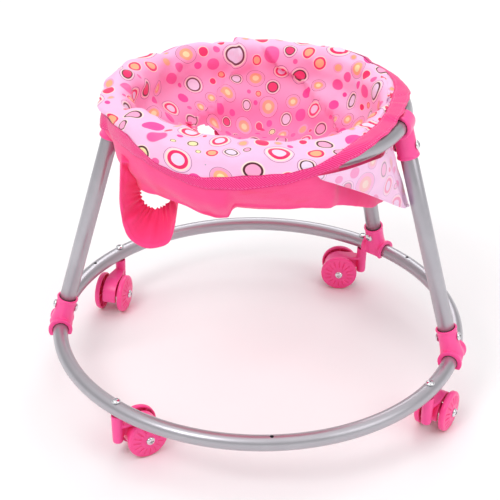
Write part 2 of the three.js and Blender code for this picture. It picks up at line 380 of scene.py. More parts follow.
def cut_away(made: bpy.types.Object, cutter: bpy.types.Object, sharp: float,
             crossed: bool = False) -> None:
    """Cuts a form out of an object and removes the form.

    Args:
        made: The object that is cut.
        cutter: The closed form that is taken away.
        sharp: Edges that turn by more than this many degrees stay sharp.
        crossed: Whether parts of the cutter pass through each other.
    """
    cut = made.modifiers.new("cut", "BOOLEAN")
    cut.operation, cut.object, cut.solver = "DIFFERENCE", cutter, "EXACT"
    cut.use_self = crossed
    settle(made)
    made.data.set_sharp_from_angle(angle=math.radians(sharp))
    bpy.data.objects.remove(cutter)


@dataclass
class Moulding:
    """A plastic moulding: joined forms with bores cut out and every edge softened."""

    name: str
    joined: list[Shape]
    cut: list[Shape]
    grain: float = 0.42
    rounds: int = 6

    def build(self) -> bpy.types.Object:
        """Builds the moulding as one closed, evenly faceted skin.

        Returns:
            The finished object.
        """
        made = join_shapes(self.name, self.joined)
        cutter = join_shapes(f"{self.name}.cutter", self.cut)
        trim = made.modifiers.new("bores", "BOOLEAN")
        trim.operation, trim.object = "DIFFERENCE", cutter
        trim.solver, trim.use_self = "EXACT", True
        skin = made.modifiers.new("skin", "REMESH")
        skin.mode, skin.voxel_size, skin.use_smooth_shade = "VOXEL", self.grain * MM, True
        soften = made.modifiers.new("soften", "SMOOTH")
        soften.factor, soften.iterations = 0.5, self.rounds
        settle(made)
        bpy.data.objects.remove(cutter)
        made.data.shade_smooth()
        return made


# ---- Materials -----------------------------------------------------------------------


class Nodes:
    """A short way to write a material's node tree."""

    def __init__(self, name: str) -> None:
        """Starts a material with its shader and output.

        Args:
            name: The name.
        """
        self.material = bpy.data.materials.new(name)
        self.material.use_nodes = True
        self.tree = self.material.node_tree
        self.shader = self.tree.nodes["Principled BSDF"]

    def add(self, kind: str, **settings: object) -> bpy.types.Node:
        """Adds a node.

        Args:
            kind: Its type, without the ShaderNode prefix.
            settings: Its properties.

        Returns:
            The new node.
        """
        node = self.tree.nodes.new(f"ShaderNode{kind}")
        for key, value in settings.items():
            setattr(node, key, value)
        return node

    def join(self, source: object, target: object) -> None:
        """Links a socket to another, or sets a plain value on it."""
        if isinstance(source, bpy.types.NodeSocket):
            self.tree.links.new(source, target)
        else:
            target.default_value = source

    def sum(self, operation: str, first: object, second: object = 0.0) -> Socket:
        """Does arithmetic on one or two values.

        Args:
            operation: A Math node's operation.
            first: A socket or a number.
            second: A socket or a number.

        Returns:
            The result's socket.
        """
        node = self.add("Math", operation=operation)
        self.join(first, node.inputs[0])
        self.join(second, node.inputs[1])
        return node.outputs[0]

    def mix(self, share: object, first: object, second: object) -> Socket:
        """Mixes two colours.

        Args:
            share: How much of the second there is, from 0 to 1.
            first: A socket or a colour.
            second: A socket or a colour.

        Returns:
            The mixed colour's socket.
        """
        node = self.add("Mix", data_type="RGBA")
        self.join(share, node.inputs[0])
        for value, target in ((first, node.inputs[6]), (second, node.inputs[7])):
            self.join((*value, 1.0) if isinstance(value, tuple) else value, target)
        return node.outputs[2]

    def span(self, value: object, low: float, high: float) -> Socket:
        """A smooth step of a value from 0 at low to 1 at high.

        Args:
            value: A socket.
            low: The value that gives 0.
            high: The value that gives 1.

        Returns:
            The step's socket.
        """
        node = self.add("MapRange", interpolation_type="SMOOTHSTEP")
        self.join(value, node.inputs["Value"])
        node.inputs["From Min"].default_value = low
        node.inputs["From Max"].default_value = high
        return node.outputs["Result"]

    def noise(self, scale: float, detail: float = 2.0, vector: Socket | None = None) -> Socket:
        """Fine random variation, from object coordinates unless a vector is given.

        Args:
            scale: How fine it is.
            detail: How many finer layers it has.
            vector: The coordinates it is read at.

        Returns:
            The variation's socket.
        """
        node = self.add("TexNoise")
        node.inputs["Scale"].default_value = scale
        node.inputs["Detail"].default_value = detail
        self.join(vector or self.add("TexCoord").outputs["Object"], node.inputs["Vector"])
        return node.outputs["Fac"]

    def attribute(self, name: str) -> bpy.types.Node:
        """A node that reads one of the mesh's attributes."""
        return self.add("Attribute", attribute_name=name)

    def relief(self, height: Socket, strength: float, distance_mm: float,
               after: Socket | None = None) -> Socket:
        """Adds bump from a height.

        Args:
            height: The height's socket.
            strength: The bump's strength.
            distance_mm: The relief that a height of 1 stands for.
            after: A normal from another relief below this one.

        Returns:
            The normal's socket.
        """
        node = self.add("Bump")
        node.inputs["Strength"].default_value = strength
        node.inputs["Distance"].default_value = distance_mm * MM
        self.join(height, node.inputs["Height"])
        if after is not None:
            self.join(after, node.inputs["Normal"])
        return node.outputs["Normal"]

    def surface(self, **values: object) -> bpy.types.Material:
        """Sets the shader's sockets by name, with _ for a space.

        Args:
            values: A socket or a plain value for each.

        Returns:
            The finished material.
        """
        for key, value in values.items():
            target = self.shader.inputs[key.replace("_", " ")]
            self.join((*value, 1.0) if isinstance(value, tuple) else value, target)
        return self.material


@dataclass(frozen=True)
class PaintedTube:
    """Silver-grey paint on bent steel tube, with faint draw marks, rubbed spots and painted shade in
    holes and joints.
    """

    base: Colour = (0.45, 0.435, 0.47)
    rubbed: Colour = (0.54, 0.53, 0.56)
    fleck: Colour = (0.30, 0.29, 0.33)
    hole_shade: Colour = (0.004, 0.004, 0.005)
    metal: float = 0.72

    def make(self) -> bpy.types.Material:
        """Builds the paint.

        Returns:
            The finished material.
        """
        nodes = Nodes("silver_paint")
        worn = nodes.span(nodes.noise(45, 4), 0.5, 0.75)
        flake = nodes.noise(6000, 1)
        colour = nodes.mix(nodes.sum("MULTIPLY", worn, 0.35), self.base, self.rubbed)
        colour = nodes.mix(nodes.sum("MULTIPLY", flake, 0.10), colour, self.fleck)
        # Painted shade: ambient occlusion turns the paint nearly black in the drilled holes and
        # where the tube meets the connectors.
        shut = nodes.add("AmbientOcclusion", samples=8)
        shut.inputs["Distance"].default_value = 5 * MM
        inside = nodes.span(shut.outputs["AO"], 0.42, 0.12)
        colour = nodes.mix(inside, colour, self.hole_shade)
        rough = nodes.sum("ADD", nodes.sum("MULTIPLY", nodes.noise(200, 3), 0.08), 0.30)
        return nodes.surface(
            Base_Color=colour,
            Metallic=self.metal,
            Roughness=rough,
            Coat_Weight=0.25,
            Coat_Roughness=0.2,
            Normal=nodes.relief(flake, 0.03, 0.03),
        )


@dataclass(frozen=True)
class PinkPlastic:
    """Glossy hot pink injection-moulded plastic, with painted shade where it is shut in."""

    name: str = "pink_plastic"
    base: Colour = (1.0, 0.075, 0.33)
    recess_shade: Colour = (0.95, 0.018, 0.14)
    milky: Colour = (1.0, 0.16, 0.42)
    gloss: float = 0.3

    def make(self) -> bpy.types.Material:
        """Builds the plastic.

        Returns:
            The finished material.
        """
        nodes = Nodes(self.name)
        # Painted shade: a darker pink where ambient occlusion finds the plastic shut in.
        shut = nodes.add("AmbientOcclusion", samples=6)
        shut.inputs["Distance"].default_value = 7 * MM
        open_air = nodes.span(shut.outputs["AO"], 0.15, 0.8)
        cloudy = nodes.sum("MULTIPLY", nodes.noise(130, 2), 0.16)
        colour = nodes.mix(cloudy, nodes.mix(open_air, self.recess_shade, self.base), self.milky)
        grain = nodes.noise(1500, 2)
        rough = nodes.sum("ADD", nodes.sum("MULTIPLY", grain, 0.14), self.gloss - 0.07)
        return nodes.surface(
            Base_Color=colour,
            Roughness=rough,
            Specular_IOR_Level=0.45,
            Normal=nodes.relief(grain, 0.12, 0.08),
        )


@dataclass(frozen=True)
class BrightSteel:
    """Bright zinc-plated screw steel with fine turning marks."""

    base: Colour = (0.80, 0.80, 0.82)
    dull: Colour = (0.60, 0.60, 0.64)

    def make(self) -> bpy.types.Material:
        """Builds the steel.

        Returns:
            The finished material.
        """
        nodes = Nodes("screw_steel")
        marks = nodes.noise(2600, 3)
        tint = nodes.mix(nodes.sum("MULTIPLY", marks, 0.4), self.base, self.dull)
        rough = nodes.sum("ADD", nodes.sum("MULTIPLY", marks, 0.2), 0.1)
        return nodes.surface(
            Base_Color=tint, Metallic=1.0, Roughness=rough, Normal=nodes.relief(marks, 0.1, 0.03)
        )


def weave(nodes: Nodes, threads_mm: float) -> tuple[Socket, Socket]:
    """Crossed threads laid by the cloth's own flat coordinates.

    Args:
        nodes: The material being built.
        threads_mm: Distance between threads.

    Returns:
        The threads' height and the flat coordinates, in millimetres.
    """
    flat = nodes.add("UVMap", uv_map="flat")
    parts = nodes.add("SeparateXYZ")
    nodes.join(flat.outputs["UV"], parts.inputs[0])
    waves = []
    for axis in (0, 1):
        phase = nodes.sum("MULTIPLY", parts.outputs[axis], 2 * math.pi / threads_mm)
        waves.append(nodes.sum("SINE", phase))
    return nodes.sum("MULTIPLY", waves[0], waves[1]), flat.outputs["UV"]


@dataclass(frozen=True)
class PlainCloth:
    """Thin hot pink plain-woven cloth with soft creases and painted shade where its depth attribute
    is high.
    """

    name: str = "pink_cloth"
    base: Colour = (1.0, 0.060, 0.265)
    shade: Colour = (0.97, 0.034, 0.18)
    lift: Colour = (1.0, 0.075, 0.29)

    def make(self) -> bpy.types.Material:
        """Builds the cloth.

        Returns:
            The finished material.
        """
        nodes = Nodes(self.name)
        threads, flat = weave(nodes, 0.8)
        soft = nodes.noise(0.035, 3, flat)
        colour = nodes.mix(nodes.span(soft, 0.2, 0.5), self.shade, self.base)
        depth = nodes.attribute("depth").outputs["Fac"]
        lifted = nodes.mix(nodes.span(soft, 0.55, 0.8), colour, self.lift)
        # Painted shade: the depth attribute darkens the cloth under the seat and inside the leg
        # cuffs.
        colour = nodes.mix(depth, lifted, self.shade)
        creases = nodes.relief(nodes.noise(0.09, 4, flat), 0.35, 1.6)
        return nodes.surface(
            Base_Color=colour,
            Roughness=0.72,
            Specular_IOR_Level=0.3,
            Sheen_Weight=0.25,
            Sheen_Roughness=0.5,
            Normal=nodes.relief(threads, 0.22, 0.12, creases),
        )


@dataclass(frozen=True)
class Twill:
    """Hot pink twill binding: diagonal ribs with painted shade in their grooves, and a line of
    stitches near each edge.
    """

    base: Colour = (1.0, 0.06, 0.32)
    groove: Colour = (0.80, 0.018, 0.16)
    stitching: Colour = (1.0, 0.16, 0.42)
    rib_mm: float = 1.7
    width_mm: float = 12.0
    seam_mm: float = 1.6
    stitch_mm: float = 2.6

    def make(self) -> bpy.types.Material:
        """Builds the binding's cloth.

        Returns:
            The finished material.
        """
        nodes = Nodes("pink_twill")
        parts = nodes.add("SeparateXYZ")
        nodes.join(nodes.add("UVMap", uv_map="flat").outputs["UV"], parts.inputs[0])
        along, across = parts.outputs[0], parts.outputs[1]
        slant = nodes.sum("ADD", along, nodes.sum("MULTIPLY", across, 0.8))
        rib = nodes.sum("SINE", nodes.sum("MULTIPLY", slant, 2 * math.pi / self.rib_mm))
        from_edge = nodes.sum("ABSOLUTE", nodes.sum("SUBTRACT", across, self.width_mm / 2))
        seam = nodes.sum("SUBTRACT", from_edge, self.width_mm / 2 - self.seam_mm)
        near_seam = nodes.sum("LESS_THAN", nodes.sum("ABSOLUTE", seam), 0.35)
        stitch = nodes.sum("SINE", nodes.sum("MULTIPLY", along, 2 * math.pi / self.stitch_mm))
        thread = nodes.sum("MULTIPLY", near_seam, nodes.span(stitch, -0.3, 0.2))
        # Painted shade: the groove colour darkens the grooves between the ribs.
        ribbed = nodes.mix(nodes.span(rib, -0.8, 0.6), self.groove, self.base)
        colour = nodes.mix(nodes.sum("MULTIPLY", thread, 0.7), ribbed, self.stitching)
        height = nodes.relief(rib, 0.55, 0.22)
        return nodes.surface(
            Base_Color=colour,
            Roughness=0.7,
            Specular_IOR_Level=0.3,
            Sheen_Weight=0.3,
            Sheen_Roughness=0.45,
            Normal=nodes.relief(thread, 0.6, 0.35, height),
        )


@dataclass(frozen=True)
class Dot:
    """One kind of printed circle: colours of its parts and where they end, as shares of it."""

    core: Colour
    ring: Colour
    gap: Colour
    ends: tuple[float, float, float]
    outlined: bool = False


class Ink:
    """The print's colours."""

    HOT = (0.86, 0.015, 0.13)
    ROSE = (0.93, 0.10, 0.36)
    MAROON = (0.085, 0.012, 0.025)
    CREAM = (0.98, 0.72, 0.66)
    LAVENDER = (0.84, 0.66, 0.84)
    PEACH = (0.93, 0.42, 0.22)
    LEMON = (0.90, 0.78, 0.40)
    BLUSH = (0.97, 0.36, 0.58)
    MAGENTA = (0.93, 0.055, 0.34)


class DotKind(Enum):
    """The circles that the cloth is printed with, from large to small."""

    TARGET = Dot(Ink.HOT, Ink.MAROON, Ink.CREAM, (0.58, 0.74, 0.86), outlined=True)
    MOON = Dot(Ink.LAVENDER, Ink.MAROON, Ink.CREAM, (0.60, 0.76, 0.88), outlined=True)
    ROSE_RING = Dot(Ink.LAVENDER, Ink.HOT, Ink.CREAM, (0.48, 0.74, 0.90), outlined=True)
    SUN = Dot(Ink.LEMON, Ink.PEACH, Ink.BLUSH, (0.34, 0.66, 0.96), outlined=True)
    SUNSET = Dot(Ink.PEACH, Ink.HOT, Ink.CREAM, (0.62, 0.90, 1.0))
    PEACH_DISC = Dot(Ink.PEACH, Ink.BLUSH, Ink.CREAM, (0.70, 1.0, 1.0))
    PINK_EYE = Dot(Ink.BLUSH, Ink.MAROON, Ink.CREAM, (0.66, 0.86, 1.0))
    LEMON_EYE = Dot(Ink.LEMON, Ink.MAROON, Ink.CREAM, (0.70, 0.90, 1.0))
    HOT_DOT = Dot(Ink.HOT, Ink.HOT, Ink.CREAM, (0.5, 0.86, 1.0))
    ROSE_DOT = Dot(Ink.ROSE, Ink.ROSE, Ink.BLUSH, (0.5, 0.92, 1.0))
    MAGENTA_DOT = Dot(Ink.MAGENTA, Ink.MAGENTA, Ink.MAGENTA, (0.5, 0.9, 1.0))
    LEMON_DOT = Dot(Ink.LEMON, Ink.LEMON, Ink.CREAM, (0.5, 0.8, 1.0))


@dataclass
class CirclePrint:
    """The printed pattern: circles of many sizes, packed clear of each other in a repeat."""

    repeat: float = 141.4
    clearance: float = 1.6
    tries: int = 9000
    seed: int = 11
    sizes: tuple[tuple[float, int], ...] = (
        (8.8, 7), (7.6, 11), (6.4, 15), (5.3, 18), (4.2, 18), (3.0, 16), (2.0, 12)
    )
    circles: Array = field(init=False)
    kinds: list[DotKind] = field(init=False)

    def __post_init__(self) -> None:
        """Packs the repeat, the largest circles first."""
        chance = np.random.default_rng(self.seed)
        placed: list[tuple[float, float, float]] = []
        self.kinds = []
        for radius, count in self.sizes:
            wanted = len(placed) + count
            for x, y in chance.uniform(0, self.repeat, (self.tries, 2)):
                if len(placed) == wanted:
                    break
                if self._is_clear(placed, x, y, radius):
                    placed.append((x, y, radius))
                    self.kinds.append(self._kind_for(radius, chance))
        self.circles = np.array(placed)

    def _is_clear(self, placed: list, x: float, y: float, radius: float) -> bool:
        """Whether a circle would keep the clearance from all others, across the repeat.

        Args:
            placed: The circles already placed.
            x: The circle's place across.
            y: The circle's place along.
            radius: The circle's radius.

        Returns:
            True if it would.
        """
        if not placed:
            return True
        others = np.array(placed)
        apart = np.abs(others[:, :2] - (x, y))
        apart = np.minimum(apart, self.repeat - apart)
        return bool(np.all(np.hypot(*apart.T) > others[:, 2] + radius + self.clearance))

    @staticmethod
    def _kind_for(radius: float, chance: np.random.Generator) -> DotKind:
        """Chooses a kind of circle that is printed at about that size.

        Args:
            radius: The circle's radius.
            chance: The source of random numbers.

        Returns:
            The kind.
        """
        kinds = list(DotKind)
        if radius > 7:
            pool = kinds[:4]
        elif radius > 5:
            pool = kinds[:11]
        elif radius > 2.5:
            pool = kinds[4:11]
        else:
            pool = kinds[7:]
        return pool[int(chance.integers(len(pool)))]

    def print_on(self, made: bpy.types.Object) -> None:
        """Gives every face of a cloth the circle that lies nearest to it.

        Args:
            made: The cloth, with its flat coordinates in millimetres.
        """
        mesh = made.data
        count = len(mesh.loops)
        flat = np.zeros(count * 2, np.float32)
        mesh.uv_layers["flat"].data.foreach_get("uv", flat)
        starts = np.zeros(len(mesh.polygons), np.int32)
        mesh.polygons.foreach_get("loop_start", starts)
        middle = np.add.reduceat(flat.reshape(-1, 2), starts, axis=0)
        sizes = np.diff(np.append(starts, count))
        middle = middle / sizes[:, None]
        offset = middle[:, None, :] - self.circles[None, :, :2]
        whole = np.round(offset / self.repeat) * self.repeat
        gap = np.linalg.norm(offset - whole, axis=2) - self.circles[None, :, 2]
        nearest = gap.argmin(axis=1)
        rows = np.arange(len(nearest))
        centre = self.circles[nearest, :2] + whole[rows, nearest]
        radius = self.circles[nearest, 2]
        kinds = [self.kinds[i].value for i in nearest]
        self._store(mesh, "dot_centre", np.column_stack([centre, radius]))
        ends = np.array([k.ends for k in kinds]) * radius[:, None]
        self._store(mesh, "dot_ends", ends)
        outline = np.array([[1.0 if k.outlined else 0.0] * 3 for k in kinds])
        self._store(mesh, "dot_line", outline)
        for part in ("core", "ring", "gap"):
            self._store(mesh, f"dot_{part}", np.array([getattr(k, part) for k in kinds]))

    @staticmethod
    def _store(mesh: bpy.types.Mesh, name: str, values: Array) -> None:
        """Writes three numbers to every face under a name."""
        made = mesh.attributes.new(name, "FLOAT_VECTOR", "FACE")
        made.data.foreach_set("vector", values.astype(np.float32).ravel())


@dataclass(frozen=True)
class PrintedCloth:
    """Thin pale pink cloth printed with circles, deeper with pink cloth behind it and with painted
    shade in the pit.
    """

    name: str = "printed_cloth"
    ground: Colour = (0.96, 0.51, 0.75)
    backing_and_pit_shade: Colour = (0.98, 0.235, 0.48)
    fade: float = 0.0
    lilac: Colour = (0.88, 0.53, 0.81)
    line_mm: float = 0.2

    def make(self) -> bpy.types.Material:
        """Builds the cloth with its print.

        Returns:
            The finished material.
        """
        nodes = Nodes(self.name)
        threads, flat = weave(nodes, 0.7)
        depth = nodes.attribute("depth").outputs["Fac"]
        mottle = nodes.span(nodes.noise(0.05, 2, flat), 0.3, 0.7)
        mottled = nodes.mix(nodes.sum("MULTIPLY", mottle, 0.6), self.ground, self.lilac)
        # The depth attribute mixes in the pink backing and the painted shade of the pit.
        ground = nodes.mix(depth, mottled, self.backing_and_pit_shade)
        from_centre = nodes.add("VectorMath", operation="SUBTRACT")
        centre = nodes.attribute("dot_centre").outputs["Vector"]
        nodes.join(flat, from_centre.inputs[0])
        nodes.join(centre, from_centre.inputs[1])
        parts = nodes.add("SeparateXYZ")
        nodes.join(from_centre.outputs[0], parts.inputs[0])
        x, y = parts.outputs[0], parts.outputs[1]
        distance = nodes.sum(
            "SQRT",
            nodes.sum("ADD", nodes.sum("MULTIPLY", x, x), nodes.sum("MULTIPLY", y, y)),
        )
        size = nodes.add("SeparateXYZ")
        nodes.join(centre, size.inputs[0])
        ends = nodes.add("SeparateXYZ")
        nodes.join(nodes.attribute("dot_ends").outputs["Vector"], ends.inputs[0])
        colour = nodes.attribute("dot_core").outputs["Color"]
        layers = [
            (ends.outputs[0], nodes.attribute("dot_ring").outputs["Color"]),
            (ends.outputs[1], nodes.attribute("dot_gap").outputs["Color"]),
            (ends.outputs[2], ground),
        ]
        for end, beyond in layers:
            past = nodes.span(nodes.sum("SUBTRACT", distance, end), -0.1, 0.1)
            colour = nodes.mix(past, colour, beyond)
        off_line = nodes.sum("ABSOLUTE", nodes.sum("SUBTRACT", distance, size.outputs[2]))
        line = nodes.span(off_line, self.line_mm, self.line_mm * 0.5)
        line = nodes.sum("MULTIPLY", line, nodes.attribute("dot_line").outputs["Fac"])
        colour = nodes.mix(nodes.sum("MULTIPLY", line, 0.8), colour, Ink.MAROON)
        # Painted shade: the same backing and pit shade colour laid faintly over the print where
        # depth is high.
        colour = nodes.mix(nodes.sum("MULTIPLY", depth, 0.22), colour, self.backing_and_pit_shade)
        colour = nodes.mix(self.fade, colour, ground)
        creases = nodes.relief(nodes.noise(0.11, 4, flat), 0.3, 1.4)
        return nodes.surface(
            Base_Color=colour,
            Roughness=0.7,
            Specular_IOR_Level=0.3,
            Sheen_Weight=0.2,
            Sheen_Roughness=0.5,
            Normal=nodes.relief(threads, 0.15, 0.1, creases),
        )


@dataclass(frozen=True)
class StudioFloor:
    """A plain pale floor."""

    base: Colour = (0.93, 0.93, 0.935)
    worn: Colour = (0.9, 0.9, 0.9)

    def make(self) -> bpy.types.Material:
        """Builds the floor's finish.

        Returns:
            The finished material.
        """
        nodes = Nodes("studio_floor")
        patches = nodes.sum("MULTIPLY", nodes.noise(3, 2), 0.03)
        tint = nodes.mix(patches, self.base, self.worn)
        return nodes.surface(Base_Color=tint, Roughness=0.85, Specular_IOR_Level=0.1)


def dress(
    made: bpy.types.Object, finish: bpy.types.Material, slot: str, body: str, *nodes: str
) -> bpy.types.Object:
    """Finishes a piece and hands it to the frame.

    Args:
        made: The piece.
        finish: Its material.
        slot: The record's material slot; not used.
        body: The body that it rides on.
        nodes: The frame's nodes that it stands for.

    Returns:
        The same piece.
    """
    made.data.materials.clear()
    made.data.materials.append(finish)
    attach(made, body)
    if nodes:
        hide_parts(*nodes)
    LOG.info("built %s with %d faces", made.name, len(made.data.polygons))
    return made


# ---- Tube frame ----------------------------------------------------------------------


def node_centre(node: str) -> Array:
    """The middle of a node's box, in millimetres."""
    low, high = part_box(node)
    return np.array((low + high) / 2) / MM


def joint_place(name: str) -> Array:
    """A joint's place in millimetres."""
    found = next(j for j in frame["joints"] if j["name"] == name)
    return np.array(found["pos_m"]) / MM


@dataclass
class Ring:
    """One bent tube ring, set level round the walker's axis."""

    name: str
    radius: float
    height: float
    tube: float = 6.0
    bends: int = 256
    sides: int = 36

    def arc(self, start: float, end: float, steps: int) -> Array:
        """Points along the tube's centre-line between two angles."""
        return polar(np.linspace(start, end, steps), self.radius, self.height)

    def build(self, hole_angles: Sequence[float], hole_radius: float) -> bpy.types.Object:
        """Builds the ring with small holes drilled in its top.

        Args:
            hole_angles: Where the holes are.
            hole_radius: Their radius.

        Returns:
            The ring.
        """
        turns = np.arange(self.bends) * 360 / self.bends
        path = polar(turns, self.radius, self.height)
        made = join_shapes(self.name, [sweep(path, [self.tube] * self.bends, self.sides, True)])
        if not hole_angles:
            return made
        drills = [
            rod(polar(a, self.radius, self.height), polar(a, self.radius, self.height + 9),
                [hole_radius], 24)
            for a in hole_angles
        ]
        cut_away(made, join_shapes(f"{self.name}.drill", drills), sharp=40)
        return made


@dataclass
class Leg:
    """One leaning leg tube and the straight line that it stands on."""

    side: str
    base: Ring
    top: Ring
    radius: float = 6.5
    wall: float = 0.8
    inset: float = 8.2
    edge: float = 0.25

    def __post_init__(self) -> None:
        """Works the leg's line out from where its node stands."""
        middle = node_centre(f"leg_{self.side}")
        self.angle = math.degrees(math.atan2(middle[1], middle[0]))
        self.foot = polar(self.angle, self.base.radius, self.base.height)
        self.head = polar(self.angle, self.top.radius, self.top.height)
        self.up = (self.head - self.foot) / np.linalg.norm(self.head - self.foot)
        self.tangent = polar(self.angle + 90, 1.0)
        outwards = np.cross(self.tangent, self.up)
        self.outwards = outwards / np.linalg.norm(outwards)

    def build(self) -> bpy.types.Object:
        """Builds the tube, open along its bore, with eased ends.

        Returns:
            The finished object.
        """
        length = float(np.linalg.norm(self.head - self.foot)) - 2 * self.inset
        inner, outer = self.radius - self.wall, self.radius
        outline = [
            (inner, 0), (outer - self.edge, 0), (outer, self.edge),
            (outer, length / 2), (outer, length - self.edge), (outer - self.edge, length),
            (inner, length), (inner, length / 2),
        ]
        turn = Vector((0, 1, 0)).rotation_difference(Vector(self.up)).to_matrix().to_4x4()
        turn.translation = Vector(self.foot + self.up * self.inset)
        return join_shapes(f"leg.{self.side}", [turned(outline, 48).moved(turn)])


@dataclass
class Connectors:
    """The pink mouldings that hold a leg to both rings."""

    socket: float = 8.0
    length: float = 26.0
    flare: float = 9.6
    flare_length: float = 14.0
    lip: float = 0.6
    lip_length: float = 2.4
    mouth_step: float = 0.6
    saddle: float = 8.6
    saddle_lip: float = 9.7
    saddle_length: float = 22.0
    wrap: float = 5.0
    sleeve: float = 9.0
    sleeve_length: float = 17.0
    gap: float = 0.3
    screw_station: float = 17.5
    screw_bore: float = 1.7

    def _barrel(self, ring: Ring, angle: float, length: float, radii: Sequence[float]) -> Shape:
        """A thick sleeve bent along a ring.

        Args:
            ring: The ring that it lies round.
            angle: Where its middle is.
            length: Its length along the ring.
            radii: Radii at even steps along it.

        Returns:
            The sleeve as a solid bar.
        """
        half = math.degrees(length / 2 / ring.radius)
        return sweep(ring.arc(angle - half, angle + half, len(radii)), radii, 64)

    def _bores(self, leg: Leg, ring: Ring, end: Array, along: Array) -> list[Shape]:
        """The holes through a connector for the ring, the leg and the screws.

        Args:
            leg: The leg that it holds.
            ring: The ring that it holds.
            end: Where the leg meets the ring's centre-line.
            along: The way from there along the leg.

        Returns:
            The cutters.
        """
        mouth = end + along * (leg.inset - self.gap)
        station = end + along * self.screw_station
        across = leg.outwards * 2 * self.socket
        return [
            self._barrel(ring, leg.angle, 60, [ring.tube + self.gap] * 24),
            rod(mouth, mouth + along * 2 * self.length, [leg.radius + self.gap]),
            rod(station - across, station + across, [self.screw_bore], 24),
        ]

    def _socket(self, end: Array, along: Array, radii: Sequence[float]) -> Shape:
        """The round socket, up to just short of its mouth."""
        return rod(end, end + along * (self.length - self.mouth_step), radii, 64)

    def _mouth_lip(self, end: Array, along: Array) -> Shape:
        """The narrow lip round a socket's mouth."""
        start = end + along * (self.length - self.lip_length)
        return rod(start, end + along * self.length,
                   [self.socket, self.socket + self.lip, self.socket + self.lip], 64)

    def build_lower(self, leg: Leg) -> bpy.types.Object:
        """Builds the saddle over the base ring with its flared socket.

        Args:
            leg: The leg that stands in it.

        Returns:
            The moulding.
        """
        ring = leg.base
        body = [self.saddle] * 20
        body[:3] = [self.saddle_lip] * 3
        body[-3:] = [self.saddle_lip] * 3
        flare = [
            self.socket + (self.flare - self.socket) * (1 - t) ** 1.6 for t in np.linspace(0, 1, 12)
        ]
        low = leg.foot - [30, 30, 30]
        high = leg.foot + [30, 30, 0]
        high[2] = ring.height - self.wrap
        return Moulding(
            f"lower_connector.{leg.side}",
            [
                self._barrel(ring, leg.angle, self.saddle_length, body),
                self._socket(leg.foot, leg.up, [self.socket]),
                rod(leg.foot, leg.foot + leg.up * self.flare_length, flare, 64),
                self._mouth_lip(leg.foot, leg.up),
            ],
            [box(low, high), *self._bores(leg, ring, leg.foot, leg.up)],
        ).build()

    def build_upper(self, leg: Leg) -> bpy.types.Object:
        """Builds the sleeve round the top ring with its socket.

        Args:
            leg: The leg that ends in it.

        Returns:
            The moulding.
        """
        radii = [self.sleeve] * 16
        radii[0] = radii[-1] = self.sleeve - 0.5
        return Moulding(
            f"upper_connector.{leg.side}",
            [
                self._barrel(leg.top, leg.angle, self.sleeve_length, radii),
                self._socket(leg.head, -leg.up, [self.socket]),
                self._mouth_lip(leg.head, -leg.up),
            ],
            self._bores(leg, leg.top, leg.head, -leg.up),
        ).build()


@dataclass
class PanScrew:
    """A small pan-head screw with a cross recess, its head's seat at the origin."""

    head: float = 3.5
    head_height: float = 2.0
    shank: float = 1.4
    recess: float = 1.7
    recess_width: float = 0.9
    recess_depth: float = 1.3
    sides: int = 40

    def shape(self, length: float) -> bpy.types.Mesh:
        """Builds the screw along Y, with its shank below the origin.

        Args:
            length: Length under the head.

        Returns:
            The screw's mesh.
        """
        dome = [
            (self.head * math.cos(t) ** 0.7, self.head_height * math.sin(t))
            for t in np.linspace(0.12, math.pi / 2 - 0.02, 9)
        ]
        outline = [(0.02, -length), (self.shank * 0.6, -length), (self.shank, -length + 0.8),
                   (self.shank, 0), (self.head * 0.94, 0), *dome]
        made = join_shapes("screw", [turned(outline, self.sides)])
        floor, top = self.head_height - self.recess_depth, self.head_height + 1
        reach, half = self.recess, self.recess_width / 2
        cutter = join_shapes("screw.recess", [
            box((-reach, floor, -half), (reach, top, half)),
            box((-half, floor, -reach), (half, top, reach)),
        ])
        cut_away(made, cutter, sharp=38, crossed=True)
        mesh = made.data
        bpy.data.objects.remove(made)
        return mesh


@dataclass
class ScrewBox:
    """Hands out screws of a few lengths, each mesh made once."""

    steel: bpy.types.Material
    screw: PanScrew = field(default_factory=PanScrew)
    meshes: dict[float, bpy.types.Mesh] = field(default_factory=dict)

    def place(self, node: str, seat: Array, outwards: Array, length: float, body: str,
              twist: float = 0.0) -> None:
        """Puts a screw in the place of a frame node.

        Args:
            node: The node that it stands for.
            seat: Where the underside of its head rests.
            outwards: The way that its head faces.
            length: Length under the head.
            body: The body that it rides on.
            twist: Turn of the recess, in degrees.
        """
        if length not in self.meshes:
            self.meshes[length] = self.screw.shape(length)
        turn = Vector((0, 1, 0)).rotation_difference(Vector(outwards)).to_matrix()
        turn = (turn @ Matrix.Rotation(math.radians(twist), 3, "Y")).to_4x4()
        turn.translation = Vector(seat) * MM
        mesh = self.meshes[length].copy()
        mesh.transform(turn)
        made = bpy.data.objects.new(f"{node}.pan_head", mesh)
        bpy.context.scene.collection.objects.link(made)
        dress(made, self.steel, "screw_steel", body, node)


